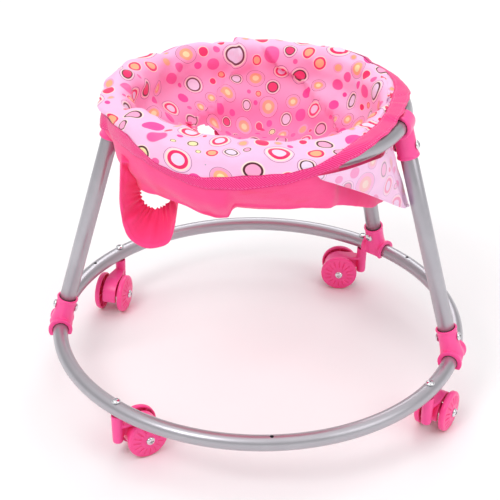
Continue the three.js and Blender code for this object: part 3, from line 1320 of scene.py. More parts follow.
@dataclass
class TubeFrame:
    """Both rings, the three legs, their connectors and screws."""

    paint: bpy.types.Material
    plastic: bpy.types.Material
    screws: ScrewBox
    connectors: Connectors = field(default_factory=Connectors)
    top_radius: float = 107.0
    spare_holes: tuple[float, ...] = (35.0, 152.0, 273.5)
    hole_radius: float = 1.5
    screw_length: float = 3.4

    def __post_init__(self) -> None:
        """Reads the rings' places from the frame."""
        swivel = joint_place("swivel_front_left")
        self.base = Ring("base_tube", math.hypot(swivel[0], swivel[1]), swivel[2])
        self.top = Ring("top_tube", self.top_radius, node_centre("top_ring")[2], bends=220)
        self.legs = [Leg(side, self.base, self.top) for side in ("left", "right", "rear")]

    def build(self) -> None:
        """Builds and dresses the whole tube frame."""
        base = self.base.build(self.spare_holes, self.hole_radius)
        dress(base, self.paint, "silver_tube", "frame", "base_ring")
        dress(self.top.build((), 0), self.paint, "silver_tube", "frame", "top_ring")
        for leg in self.legs:
            dress(leg.build(), self.paint, "silver_tube", "frame", f"leg_{leg.side}")
            lower, upper = self.connectors.build_lower(leg), self.connectors.build_upper(leg)
            dress(lower, self.plastic, "pink_plastic", "frame", f"lower_connector_{leg.side}")
            dress(upper, self.plastic, "pink_plastic", "frame", f"upper_connector_{leg.side}")
            self._add_screws(f"lower_{leg.side}", leg, leg.foot, leg.up)
            self._add_screws(f"upper_{leg.side}", leg, leg.head, -leg.up)

    def _add_screws(self, name: str, leg: Leg, end: Array, along: Array) -> None:
        """Puts the two screws in one socket."""
        centre = end + along * self.connectors.screw_station
        for side, sign, twist in (("outer", 1, 20), ("inner", -1, 65)):
            outwards = leg.outwards * sign
            seat = centre + outwards * (self.connectors.socket + 0.05)
            self.screws.place(f"{name}_screw_{side}", seat, outwards, self.screw_length,
                              "frame", twist)


# ---- Casters -------------------------------------------------------------------------


@dataclass
class Wheel:
    """A dished wheel disc on the +Y side of its axle, domed outside and ribbed."""

    radius: float = 16.3
    hub: float = 4.6
    bore: float = 1.5
    hub_start: float = 6.3
    rim_start: float = 8.2
    web: float = 10.8
    rim_wall: float = 1.7
    face: float = 14.5
    shoulder: float = 11.8
    ribs: int = 16
    rib_height: float = 0.75
    inner_ribs: int = 9
    sides: int = 216

    def build(self, name: str, place: Matrix) -> bpy.types.Object:
        """Builds the wheel and carries it to its place.

        Args:
            name: The piece's name.
            place: Its place, with the shift in millimetres.

        Returns:
            The wheel.
        """
        dome_r = np.linspace(self.radius - 0.35, self.bore, 22)
        dome_y = self.face - (self.face - self.shoulder) * (dome_r / self.radius) ** 2.3
        inside = self.radius - self.rim_wall
        floor_r = np.linspace(self.hub + 0.15, inside - 0.15, 14)
        outline = [
            (self.bore, self.hub_start), (self.hub - 0.3, self.hub_start),
            (self.hub, self.hub_start + 0.3), (self.hub, self.web - 0.3),
            *[(r, self.web) for r in floor_r],
            (inside, self.web - 0.3), (inside, self.rim_start + 0.3),
            (inside + 0.3, self.rim_start), (self.radius - 0.4, self.rim_start),
            (self.radius, self.rim_start + 0.5), (self.radius, self.shoulder - 0.5),
            *zip(dome_r, dome_y, strict=True),
        ]
        wheel = turned(outline, self.sides)
        self._raise_ribs(wheel.points)
        made = join_shapes(name, [wheel.moved(place)])
        made.data.set_sharp_from_angle(angle=math.radians(50))
        return made

    def _raise_ribs(self, points: Array) -> None:
        """Sinks the grooves in the domed face and raises the ribs inside the dish.

        Args:
            points: Points, in millimetres.
        """
        radius = np.hypot(points[:, 0], points[:, 2])
        turn = np.arctan2(points[:, 0], points[:, 2])
        outer = points[:, 1] > self.shoulder - 0.2
        window = step_up(radius, 6.8, 7.6) * (1 - step_up(radius, 12.6, 13.6))
        groove = step_up(np.cos(turn * self.ribs), 0.45, 0.9)
        points[:, 1] -= np.where(outer, self.rib_height * window * groove, 0)
        ledge = 0.35 * bump(radius - 15.0, 0.5) - 0.25 * bump(radius - 5.0, 0.5)
        points[:, 1] += np.where(outer, ledge, 0)
        floor = np.abs(points[:, 1] - self.web) < 0.01
        narrow = step_up(np.cos(turn * self.inner_ribs), 0.86, 0.96)
        points[:, 1] -= np.where(floor, 2.3 * narrow, 0)


@dataclass
class Caster:
    """One swivelling caster: barrel, arm and cowl in one moulding, with two wheels."""

    name: str
    plastic: bpy.types.Material
    wheel_plastic: bpy.types.Material
    screws: ScrewBox
    ring: Ring
    barrel: float = 4.5
    barrel_foot: float = 14.0
    half_width: float = 6.0
    cowl_outer: float = 14.0
    cowl_inner: float = 11.4
    cowl_span: tuple[float, float] = (-14.0, 196.0)
    boss: float = 4.3
    web_half: float = 1.3
    arm_top: float = 30.0
    arm_thick: float = 2.4
    arm_foot: float = 19.0
    bore: float = 1.7

    def __post_init__(self) -> None:
        """Reads the swivel and the axle from the frame's joints."""
        self.swivel = joint_place(f"swivel_{self.name}")
        self.axle = joint_place(f"spin_{self.name}_left")
        trail = self.axle - self.swivel
        self.trail = math.hypot(trail[0], trail[1])
        self.place = Matrix.Rotation(math.atan2(trail[1], trail[0]), 4, "Z")
        self.place.translation = Vector((self.swivel[0], self.swivel[1], 0))

    def _arm(self) -> list[Shape]:
        """The arm's top plate, which widens to the cowl, and the upright web under it.

        Returns:
            The plate and the web.
        """
        x, top, low = self.trail, self.arm_top, self.arm_top - self.arm_thick
        near, far = self.barrel * 0.8, self.half_width
        corners = [(0, -near), (0, near), (x * 0.55, far), (x, far), (x, -far), (x * 0.55, -far)]
        points = [(cx, cy, low) for cx, cy in corners] + [(cx, cy, top) for cx, cy in corners]
        web = [(0, self.arm_foot), (x, self.axle[2]), (x, top - 1), (0, top - 1)]
        arm = Shape(np.array(points, float), prism_faces(len(corners)))
        return [arm, plate(web, self.web_half)]

    def _cowl(self) -> Shape:
        """The curved cover between the two wheels.

        Returns:
            The cover.
        """
        first, last = (math.radians(a) for a in self.cowl_span)
        outer = np.linspace(first, last, 48)
        inner = outer[::-1]
        outline = [
            *[(self.trail + self.cowl_outer * math.cos(t),
               self.axle[2] + self.cowl_outer * math.sin(t)) for t in outer],
            *[(self.trail + self.cowl_inner * math.cos(t),
               self.axle[2] + self.cowl_inner * math.sin(t)) for t in inner],
        ]
        return plate(outline, self.half_width)

    def _body(self) -> bpy.types.Object:
        """Builds the moulding in its place.

        Returns:
            The moulding.
        """
        top = self.ring.height - self.ring.tube - 0.3
        height = top - self.barrel_foot
        radii = self.barrel - 0.35 * (1 - np.linspace(0, 1, 14))
        radii[0] -= 0.3
        width, axle = 2 * self.half_width, np.array([self.trail, 0, self.axle[2]])
        side = np.array([0.0, 1.0, 0.0])
        up = np.array([0.0, 0.0, 1.0])
        joined = [
            rod(up * self.barrel_foot, up * top, list(radii), 48),
            *self._arm(),
            self._cowl(),
            rod(axle - side * self.half_width, axle + side * self.half_width, [self.boss], 48),
        ]
        cut = [
            rod(up * (self.barrel_foot + 4.5), up * (top + height), [self.bore], 24),
            rod(up * (self.barrel_foot - 1), up * (self.barrel_foot + 1.6), [2.6], 24),
            rod(axle - side * width, axle + side * width, [self.bore], 24),
        ]
        joined = [shape.moved(self.place) for shape in joined]
        cut = [shape.moved(self.place) for shape in cut]
        return Moulding(f"caster_body.{self.name}", joined, cut, grain=0.38).build()

    def build(self, wheel: Wheel) -> None:
        """Builds and dresses the whole caster.

        Args:
            wheel: The form of its wheels.
        """
        body = f"caster_{self.name}"
        dress(self._body(), self.plastic, "pink_plastic", body, f"caster_body_{self.name}")
        seat = self.swivel + [0, 0, self.ring.tube + 0.1]
        shank = seat[2] - self.barrel_foot - 5
        self.screws.place(f"caster_screw_{self.name}", seat, np.array([0.0, 0.0, 1.0]),
                          round(shank, 3), body, 30)
        for side, turn in (("left", 0.0), ("right", math.pi)):
            place = self.place @ Matrix.Translation((self.trail, 0, self.axle[2]))
            place = place @ Matrix.Rotation(turn, 4, "Z")
            disc = wheel.build(f"wheel.{self.name}.{side}", place)
            dress(disc, self.wheel_plastic, "wheel_plastic", f"wheel_{self.name}_{side}",
                  f"wheel_{self.name}_{side}")
            outwards = np.array(place.to_3x3() @ Vector((0, 1, 0)))
            hub = self.axle + outwards * (wheel.face + 0.05)
            self.screws.place(f"wheel_screw_{self.name}_{side}", hub, outwards,
                              round(wheel.face, 3), body, 10)


# ---- Cloth seat ----------------------------------------------------------------------


@dataclass(frozen=True)
class Ripples:
    """Small uneven waves through space, for creases and soft dents."""

    seed: int
    shortest: float
    longest: float
    waves: int = 14

    def at(self, points: Array) -> Array:
        """The waves' height, mostly between -1 and 1, at points in millimetres.

        Args:
            points: Points, in millimetres.

        Returns:
            The waves' height.
        """
        chance = np.random.default_rng(self.seed)
        total = np.zeros(points.shape[:-1])
        for _ in range(self.waves):
            way = chance.normal(size=3)
            way /= np.linalg.norm(way)
            length = chance.uniform(self.shortest, self.longest)
            shift = chance.uniform(0, 2 * math.pi)
            total += np.sin(points @ way * 2 * math.pi / length + shift)
        return total / math.sqrt(self.waves)


@dataclass
class ClothGrid:
    """A sheet of cloth as a grid of points, with its flat coordinates and its depth: its share of
    painted shade, and on the liner also of pink backing.
    """

    points: Array
    flat: Array
    depth: Array
    wrap: bool
    outside: bool = False
    weld: float = 0.02

    def normals(self) -> Array:
        """The sheet's normals, on the side that its faces show.

        Returns:
            One normal for each point.
        """
        if self.wrap:
            along = np.roll(self.points, -1, 1) - np.roll(self.points, 1, 1)
        else:
            along = np.gradient(self.points, axis=1)
        normal = np.cross(along, np.gradient(self.points, axis=0))
        normal /= np.maximum(np.linalg.norm(normal, axis=2), 1e-9)[..., None]
        return -normal if self.outside else normal

    def push(self, amount: Array) -> None:
        """Moves every point along its normal by an amount in millimetres."""
        self.points = self.points + self.normals() * amount[..., None]

    def build(self, name: str, keep: Array | None = None) -> bpy.types.Object:
        """Builds the sheet.

        Args:
            name: The piece's name.
            keep: Which points stay; faces that touch another point are left out.

        Returns:
            The sheet, with its flat coordinates and depth attribute.
        """
        rows, columns = self.points.shape[:2]
        faces = grid_faces(rows, columns, self.wrap)
        span = columns if self.wrap else columns - 1
        i, j = (part.ravel() for part in np.mgrid[0 : rows - 1, 0:span])
        corners = np.stack(
            [self.flat[i, j], self.flat[i, j + 1], self.flat[i + 1, j + 1], self.flat[i + 1, j]],
            axis=1,
        )
        if keep is not None:
            stays = [all(keep.ravel()[v] for v in face) for face in faces]
            faces = [face for face, stay in zip(faces, stays, strict=True) if stay]
            corners = corners[np.array(stays)]
        if self.outside:
            faces = [face[::-1] for face in faces]
            corners = corners[:, ::-1]
        made = make_object(name, self.points.reshape(-1, 3), faces)
        mesh = made.data
        layer = mesh.uv_layers.new(name="flat")
        layer.data.foreach_set("uv", corners.astype(np.float32).ravel())
        shade = mesh.attributes.new("depth", "FLOAT", "POINT")
        shade.data.foreach_set("value", self.depth.astype(np.float32).ravel())
        work = bmesh.new()
        work.from_mesh(mesh)
        loose = [v for v in work.verts if not v.link_faces]
        bmesh.ops.delete(work, geom=loose, context="VERTS")
        bmesh.ops.remove_doubles(work, verts=work.verts, dist=self.weld * MM)
        work.to_mesh(mesh)
        work.free()
        mesh.shade_smooth()
        return made


def cut_area(made: bpy.types.Object) -> float:
    """The cloth's own area in square metres."""
    return sum(face.area for face in made.data.polygons)


@dataclass
class Rim:
    """The way over the top tube that the cloth is wrapped along.

    A distance of 0 is the tube's outermost line, positive goes up and over it, and
    negative hangs down outside it. Over a leg's sleeve the cloth stands further off.
    """

    ring: Ring
    leg_angles: Sequence[float]
    bend: float = 8.0
    sleeve_lift: float = 2.2
    near: float = 5.6
    far: float = 10.5
    lean: float = 0.3

    @property
    def quarter(self) -> float:
        """The way's length from the tube's outermost line to its top."""
        return self.bend * math.pi / 2

    def over_leg(self, angle: Array) -> Array:
        """How much of the extra room over a leg's sleeve is needed, from 0 to 1.

        Args:
            angle: Angles round the walker.

        Returns:
            The share of the room.
        """
        most = np.zeros_like(angle, dtype=float)
        for leg in self.leg_angles:
            apart = np.abs(turn_between(angle, leg))
            most = np.maximum(most, 1 - step_up(apart, self.near, self.far))
        return most

    def point(self, angle: Array, way: Array, offset: float | Array) -> tuple[Array, Array]:
        """Reads the way over the tube.

        Args:
            angle: Angles round the walker.
            way: Distance along the way.
            offset: Distance from the tube's centre-line.

        Returns:
            The radius and the height.
        """
        over = self.over_leg(angle)
        off = offset + self.sleeve_lift * over
        turn = np.clip(way / self.bend, 0, math.pi / 2)
        hang = np.minimum(way, 0)
        inward = np.maximum(way - self.quarter, 0)
        radius = self.ring.radius + off * np.cos(turn) - inward - hang * self.lean * over
        height = self.ring.height + off * np.sin(turn) + hang
        return radius, height


LOWER_EDGE: Stations = (
    (10, 3), (25, -1), (60, -4), (90, -8), (180, -9), (190, -12), (200, -9.5), (210, -7.5),
    (222, -7.8), (235, -11.2), (248, -15.6), (255, -14.8), (270, -11.4), (285, -6), (300, 1.1),
    (310, 5.3), (320, 8.6), (335, 11.7), (350, 11.6), (360, 9.3),
)
UPPER_EDGE: Stations = (
    (10, 17.3), (25, 12), (60, 8), (90, 4), (180, 1), (192, -1), (200, 1.2), (212, 4.3),
    (220, 1.9), (230, -5.8), (240, -7.9), (250, -7.1), (265, -1.7), (280, -0.2), (290, 3.5),
    (300, 10.2), (310, 17.5), (320, 21.5), (330, 23.2), (350, 23.9), (360, 22.2),
)


@dataclass
class Binding:
    """The twill strip that holds the cloth to the tube, as a thin closed strip."""

    rim: Rim
    columns: int = 480
    across: int = 14
    inner: float = 7.9
    thickness: float = 1.0
    width: float = 12.0
    seam_inset: float = 1.6

    def build(self) -> bpy.types.Object:
        """Builds the strip.

        Returns:
            The finished object.
        """
        angle = np.arange(self.columns) * 360 / self.columns
        low = round_values(LOWER_EDGE, angle, 6)
        high = round_values(UPPER_EDGE, angle, 6)
        low += 0.25 * np.sin(np.radians(angle * 41)) + 0.2 * np.sin(np.radians(angle * 23))
        high += 0.25 * np.sin(np.radians(angle * 37 + 50))
        share = np.linspace(0, 1, self.across)
        rounding = np.sqrt(np.clip(1 - np.abs(2 * share - 1) ** 14, 0, 1))
        edge = np.minimum(share, 1 - share)[:, None] * (high - low)
        dip = 0.22 * bump(edge - self.seam_inset, 0.5)
        loops = []
        for side, order in ((1, slice(None)), (0, slice(None, None, -1))):
            for s, full, sunk in list(zip(share, rounding, dip, strict=True))[order]:
                thick = self.thickness * (0.5 + (side - 0.5) * full)
                way = low + (high - low) * s
                radius, height = self.rim.point(angle, way, self.inner + thick - side * sunk)
                loops.append(polar(angle, radius, height))
        points = np.array(loops)
        soft = Ripples(5, 9, 30).at(points) * 0.28
        centre = polar(angle, self.rim.ring.radius, self.rim.ring.height)
        away = points - centre[None]
        points += away / np.linalg.norm(away, axis=2)[..., None] * np.abs(soft)[..., None]
        return self._skin(points, share)

    def _skin(self, points: Array, share: Array) -> bpy.types.Object:
        """Closes the strip and lays its flat coordinates.

        Args:
            points: Points, in millimetres.
            share: Each row's place across the strip, from 0 to 1.

        Returns:
            The strip.
        """
        rows, columns = points.shape[:2]
        made = make_object("rim_binding", points.reshape(-1, 3),
                           grid_faces(rows, columns, True, loop=True))
        across = np.concatenate([share, share[::-1]]) * self.width
        along = np.arange(columns + 1) * 2 * math.pi * self.rim.ring.radius / columns
        corners = [
            ((along[j], across[i]), (along[j + 1], across[i]),
             (along[j + 1], across[(i + 1) % rows]), (along[j], across[(i + 1) % rows]))
            for i in range(rows) for j in range(columns)
        ]
        layer = made.data.uv_layers.new(name="flat")
        layer.data.foreach_set("uv", np.array(corners, np.float32).ravel())
        face_outwards(made)
        return made


@dataclass
class LegHole:
    """A round hole for a leg, seen from above."""

    angle: float
    distance: float
    radius: float

    def spread(self, grid: ClothGrid, start: float = 4.0, reach: float = 1.7) -> Array:
        """Opens the hole by spreading the threads round a small slit.

        Args:
            grid: The cloth, whose points are moved sideways.
            start: The slit's radius before it is spread.
            reach: How far out the threads move, as a multiple of the hole's radius.

        Returns:
            Which points of the cloth stay.
        """
        middle = polar(self.angle, self.distance)[:2]
        apart = grid.points[..., :2] - middle
        gone = np.maximum(np.linalg.norm(apart, axis=2), 1e-6)
        keep = gone >= start
        far = self.radius * reach
        new = self.radius + (gone - start) * (far - self.radius) / (far - start)
        new = np.where(gone < start + 0.8, self.radius, new)
        moved = middle + apart * (new / gone)[..., None]
        grid.points[..., :2] = np.where((gone < far)[..., None], moved, grid.points[..., :2])
        return keep


CREST: Sequence[tuple[float, float, float]] = (
    (0, 93, 246), (15, 97, 247), (30, 98, 247.5), (45, 103, 247.5), (60, 102.5, 247),
    (75, 105, 244.5), (90, 104, 244.5), (101, 101, 246.5), (110, 104.5, 247), (120, 105, 248),
    (131, 107, 248.5), (140, 111, 249), (150, 113, 249), (165, 112, 249), (180, 109, 248.5),
    (193, 106, 247.5), (199, 100, 247), (213, 90.5, 246.5), (223, 84, 246), (236, 79, 245.5),
    (254, 83, 246), (266, 85, 246), (280, 86, 246), (298, 89.5, 246), (310, 88, 246),
    (321, 88, 246), (330, 91, 246), (345, 92, 246),
)
PUFF: Stations = (
    (118, 0), (131, 3), (140, 7), (150, 10), (160, 7.5), (172, 6), (184, 6), (193, 10), (199, 2),
    (204, 0),
)

# Angle at the crest, lean in degrees for each mm down, height and half width of each fold.
LINER_FOLDS: Folds = (
    (23, 0.25, 3.0, 5.5), (66, -0.35, 1.8, 7), (128, 0.45, 2.2, 6), (146, 0.3, 2.6, 6.5),
    (163, -0.15, 3.2, 6), (182, 0.2, 2.6, 5), (199, 0.1, 2.2, 5), (228, -0.2, 1.6, 6),
    (262, 0.15, 1.8, 7), (291, -0.3, 2.0, 7), (318, 0.3, 2.2, 6), (344, -0.2, 2.4, 6),
)


@dataclass
class Liner:
    """The printed bag: over the tube, round a soft roll and down to the seat's middle."""

    rim: Rim
    columns: int = 420
    steps: int = 7
    offset: float = 7.3
    flat_round: float = 565.6
    crest_row: int = 4
    seam_row: int = 10
    holes: tuple[LegHole, ...] = (LegHole(131.5, 63, 8.5), LegHole(212, 66, 10))

    def _rows(self, angle: Array) -> Array:
        """The control rows, from under the binding to the seat's middle.

        Args:
            angle: Angles round the walker.

        Returns:
            The control rows.
        """
        high = round_values(UPPER_EDGE, angle, 6)
        crest_r = round_values([(a, r) for a, r, _ in CREST], angle, 5)
        crest_z = round_values([(a, z) for a, _, z in CREST], angle, 5)
        puff = round_values(PUFF, angle, 4)
        tuck_r, tuck_z = self.rim.point(angle, high - 5, self.offset)
        edge_r, edge_z = self.rim.point(angle, high + 0.5, self.offset + 0.9)
        crest_way = np.maximum(self.rim.quarter + self.rim.ring.radius - crest_r, 9.5)
        over = []
        for share in (0.33, 0.66):
            way = high + (crest_way - high) * share
            radius, height = self.rim.point(angle, way, self.offset + 1.5)
            over.append((radius + puff * (0.75 + 0.25 * share), height + 0.12 * puff))
        wall = crest_r - 3 - 0.22 * np.maximum(crest_r - 88, 0)
        clear = 97.0 - 1.6 * self.rim.over_leg(angle)
        lower = 78 + 0.12 * (crest_r - 95)
        rows = [
            (tuck_r, tuck_z), (edge_r, edge_z), *over, (crest_r, crest_z),
            (np.minimum(crest_r - 5.5, 100.0), crest_z - 4.2),
            (np.minimum(wall - 2.0, clear), 234.0), (np.minimum(wall - 3.5, clear - 1), 220.0),
            (lower, 203.5), (70.5, 192.0), (58.0, 185.5), (40.0, 178.0), (20.0, 173.5),
            (0.0, 171.5),
        ]
        return np.array([polar(angle, np.broadcast_to(r, angle.shape), z) for r, z in rows])

    def _folds(self, points: Array) -> Array:
        """How far the cloth's pleats and folds stand in from the smooth bag.

        Args:
            points: Points, in millimetres.

        Returns:
            The distance at each point.
        """
        angle = angle_of(points)
        height = points[..., 2]
        wall = step_up(height, 176, 196) * (1 - 0.45 * step_up(height, 240, 247))
        inside = step_up(247.5 - height, 0.5, 10)
        total = np.zeros(height.shape)
        pleat = 101.5 + np.interp(245 - height, [0, 18, 39, 48, 60], [0, 4.3, 13.5, 36, 45])
        total += 7.0 * self._overlap(pleat - angle, 15, 0.9) * wall
        slant = np.interp(height, [196, 203, 211, 229, 245], [30, 41, 60, 80, 92])
        total += 5.5 * self._overlap(slant - angle, 20, 0.9) * wall * inside
        for start, lean, size, width in LINER_FOLDS:
            line = start + lean * (245 - height)
            apart = turn_between(angle, line)
            total += size * bump(apart, width) * wall * inside
            total -= 0.4 * size * bump(apart - 1.7 * width, width) * wall * inside
        return total

    @staticmethod
    def _overlap(apart: Array, width: float, edge: float) -> Array:
        """A fold with a sharp edge at 0 that eases away on its positive side."""
        apart = turn_between(apart, 0)
        return step_up(apart, -edge, edge) * np.exp(-np.maximum(apart, 0) / width)

    def _roll_creases(self, points: Array, row: Array) -> Array:
        """Short creases and soft lumps over the roll, strongest at the left.

        Args:
            points: Points, in millimetres.
            row: Each point's row, in control rows.

        Returns:
            The height at each point.
        """
        angle = angle_of(points)
        on_roll = step_up(row, 0.9, 1.8) * (1 - step_up(row, 5.2, 7.0))
        left = 0.45 + bump(turn_between(angle, 178), 45)
        twist = angle + 2.4 * row
        lumps = np.sin(np.radians(twist * 17)) + 0.7 * np.sin(np.radians(twist * 29 + 40))
        return on_roll * left * (0.95 * lumps + 0.7 * np.sin(np.radians(twist * 7 + 10)))

    def _backing_and_pit_shade(self, points: Array, row: Array) -> Array:
        """How much backing colour and painted shade the print's ground takes, from 0 outside to 1 at
        the seat's middle.

        Args:
            points: Points, in millimetres.
            row: Each point's row, in control rows.

        Returns:
            The depth at each point.
        """
        angle = angle_of(points)
        going_in = step_up(row, 3.9, 5.3)
        # Painted shade: deeper further down the pit and eased high on the wall near 38 degrees; the
        # step past the crest stands for the pink backing.
        deeper = 0.55 + 0.45 * step_up(214 - points[..., 2], 0, 18)
        pale = 0.5 * bump(turn_between(angle, 38), 26) * step_up(points[..., 2], 205, 214)
        return np.clip(going_in * (deeper - pale), 0, 1)

    def build(self) -> bpy.types.Object:
        """Builds the bag with its roll, folds and leg holes.

        Returns:
            The finished object.
        """
        angle = np.arange(self.columns) * 360 / self.columns
        control = self._rows(angle)
        points = smooth_rows(control, self.steps)
        row = np.arange(len(points))[:, None] / self.steps + np.zeros(self.columns)
        depth = self._backing_and_pit_shade(points, row)
        flat = self._flat(points)
        grid = ClothGrid(points, flat, depth, wrap=True)
        free = step_up(row, 0.9, 1.6)
        grid.push((self._folds(points) + self._roll_creases(points, row)) * free)
        soft = Ripples(3, 26, 70).at(points) * 1.1 + Ripples(8, 7, 22).at(points) * 0.38
        grid.push(soft * free * (1 - 0.6 * step_up(row, 9.5, 11)))
        seam = 1.0 * bump(row - self.seam_row, 0.22)
        grid.push(seam)
        keep = np.ones(points.shape[:2], bool)
        for hole in self.holes:
            keep &= hole.spread(grid) | (grid.points[..., 2] > 215)
        return grid.build("printed_liner", keep)

    def _flat(self, points: Array) -> Array:
        """Flat coordinates: round and down the wall, and straight down on the seat's middle.

        Args:
            points: Points, in millimetres.

        Returns:
            Two coordinates for each point.
        """
        down = np.linalg.norm(np.diff(points, axis=0, prepend=points[:1]), axis=2).cumsum(axis=0)
        down = down - down[self.crest_row * self.steps]
        columns = np.arange(self.columns + 1)
        flat = np.zeros((len(points), self.columns + 1, 2))
        flat[..., 0] = columns * self.flat_round / self.columns
        flat[..., 1] = -down[:, columns % self.columns]
        floor = self.seam_row * self.steps + 1
        flat[floor:] = points[floor:, columns % self.columns, :2] * 1.02
        return flat


HEM_HEIGHT: Stations = (
    (0, 166), (20, 178), (40, 192), (60, 200), (150, 200), (185, 196), (200, 192), (211, 191),
    (222, 195.5), (233, 196.5), (244, 194.5), (257.5, 192.5), (259, 203), (272, 203),
    (286, 202), (300, 197), (315, 187.5), (330, 177), (345, 169),
)
SIDE_RADIUS: Stations = (
    (0, 98.5), (182, 98.3), (188, 102), (194, 109), (202, 110), (215, 109), (240, 109),
    (257.5, 110), (259, 105), (290, 107), (299, 103), (304, 98.5), (340, 97.8),
)

# Angle at the first row, lean in degrees for each row, height and half width of each fold.
SHELL_FOLDS: Folds = (
    (197, 2.0, 1.6, 4), (208, -2.5, 1.4, 4), (226, -1.5, 1.3, 5), (243, 1.2, 1.5, 5),
    (254, -0.6, 1.6, 3), (276, 1.5, 0.9, 8), (300, 0, 1.0, 6), (322, 2, 1.2, 7),
    (15, 1, 1.4, 7), (70, -1, 1.5, 8), (100, 2, 1.6, 7), (128, 0, 1.4, 6), (160, -2, 1.5, 7),
)


@dataclass
class Shell:
    """The hot pink outer panel, hung from the binding and closed under the seat."""

    rim: Rim
    columns: int = 420
    steps: int = 6
    offset: float = 7.3
    flat_round: float = 650.0
    holes: tuple[LegHole, ...] = (LegHole(134, 74, 14), LegHole(213, 80, 15))

    def _rows(self, angle: Array) -> Array:
        """The control rows, from under the binding to the middle of the underside.

        Args:
            angle: Angles round the walker.

        Returns:
            The control rows.
        """
        low = round_values(LOWER_EDGE, angle, 6)
        outer = step_up(angle, 186, 191) * (1 - step_up(angle, 297, 303))
        side = round_values(SIDE_RADIUS, angle, 1.6)
        hem_z = round_values(HEM_HEIGHT, angle, 1.6)
        tuck_r, tuck_z = self.rim.point(angle, low + 5, self.offset)
        edge_r, edge_z = self.rim.point(angle, low - 1, self.offset + 0.2)
        inner_r = 99.2 - 1.9 * self.rim.over_leg(angle)
        mix = [
            (inner_r + (tuck_r - inner_r) * outer, 240 + (tuck_z - 240) * outer),
            (inner_r + (edge_r - inner_r) * outer, 233 + (edge_z - 233) * outer),
        ]
        middle_z = (mix[1][1] + hem_z) / 2 + 1
        hem_r = np.minimum(side - 2.5, 100.5) + 3.0 * step_up(205 - angle, 0, 12) * outer
        under_z = 187.5 - 12 * bump(turn_between(angle, 350), 50)
        rows = [
            *mix, ((mix[1][0] + 2 * side) / 3, middle_z), (hem_r + 1.5, hem_z + 3.5),
            (hem_r, hem_z), (hem_r - 4.5, hem_z + 0.8),
            (84.0, np.minimum(hem_z + 1.0, 195.0) * 0.5 + (under_z + 4) * 0.5),
            (68.0, under_z), (40.0, 175.5 + 0 * angle), (18.0, 170.0 + 0 * angle),
            (0.0, 168.5 + 0 * angle),
        ]
        return np.array([polar(angle, np.broadcast_to(r, angle.shape), z) for r, z in rows])

    def build(self) -> bpy.types.Object:
        """Builds the panel with its folds and leg holes.

        Returns:
            The finished object.
        """
        angle = np.arange(self.columns) * 360 / self.columns
        points = smooth_rows(self._rows(angle), self.steps)
        row = np.arange(len(points))[:, None] / self.steps + np.zeros(self.columns)
        around = np.broadcast_to(angle, row.shape)
        hung = step_up(row, 1.0, 2.4) * (1 - step_up(row, 5, 7))
        folds = np.zeros(row.shape)
        for start, lean, size, width in SHELL_FOLDS:
            folds += size * bump(around - start - lean * (row - 1), width)
        # The third argument is painted shade where the panel turns under the seat.
        grid = ClothGrid(points, self._flat(points), step_up(row, 4.6, 6.5) * 0.8, True, True)
        soft = Ripples(17, 18, 60).at(points) * 0.7 + Ripples(21, 6, 16).at(points) * 0.16
        grid.push((folds * 0.8 + soft * 0.7) * hung)
        keep = np.ones(points.shape[:2], bool)
        for hole in self.holes:
            keep &= hole.spread(grid) | (row < 5.2)
        return grid.build("outer_panel", keep)

    def _flat(self, points: Array) -> Array:
        """Flat coordinates round and down the panel.

        Args:
            points: Points, in millimetres.

        Returns:
            Two coordinates for each point.
        """
        flat = np.zeros((len(points), self.columns + 1, 2))
        flat[..., 0] = np.arange(self.columns + 1) * self.flat_round / self.columns
        flat[..., 1] = -down_cloth(points)[:, None]
        return flat


@dataclass
class SideFlap:
    """The loose side panel by the right leg, printed side inwards."""

    columns: int = 110
    rows: int = 64
    top: Sequence[tuple[float, float, float]] = (
        (289, 115.9, 232.5), (300, 116.0, 233), (311, 115.2, 233), (319, 112.5, 230.4),
        (326, 107.0, 229.6), (333, 104.0, 230.4),
    )
    foot: Sequence[tuple[float, float, float]] = (
        (290, 115.8, 230.2), (299, 115.4, 220.5), (309, 115.0, 209.5), (321, 114.4, 194),
        (336, 114.6, 175.5), (348, 116.0, 164.5),
    )

    def build(self) -> bpy.types.Object:
        """Builds the flap with its soft folds and a narrow turned hem.

        Returns:
            The finished object.
        """
        share = np.linspace(0, 1, self.columns)
        down = np.linspace(0, 1, self.rows)[:, None]
        edges = []
        for edge in (self.top, self.foot):
            spline = smooth_rows(np.array(edge, float)[:, None, :], 12)[:, 0]
            at = np.linspace(0, 1, len(spline))
            edges.append(np.stack([np.interp(share, at, spline[:, k]) for k in range(3)], -1))
        top, foot = edges
        polar_grid = top[None] + (foot - top)[None] * down[..., None]
        tall = (top[:, 2] - foot[:, 2]) / 60
        belly = np.sin(np.pi * down) * tall
        angle = polar_grid[..., 0]
        radius = polar_grid[..., 1] + 0.8 * belly * (1 - step_up(share, 0.7, 1.0))
        fold = bump(share - 0.70 - 0.10 * down, 0.055) - 0.6 * bump(share - 0.83 - 0.06 * down, 0.05)
        fold = fold + 0.6 * bump(share - 0.45 - 0.05 * down, 0.07)
        radius = radius + 2.6 * fold * step_up(down, 0.03, 0.5) * np.minimum(tall, 1)
        points = polar(angle, radius, polar_grid[..., 2])
        flat = np.stack([angle * 2.0, polar_grid[..., 2] - 3.0], axis=-1)
        grid = ClothGrid(points, flat, np.zeros(angle.shape), False, True)
        soft = Ripples(31, 14, 45).at(points) * 0.5 * step_up(down, 0.05, 0.3)
        hem = 0.55 * step_up(down, 0.955, 0.965)
        grid.push(soft + hem)
        return grid.build("side_panel")


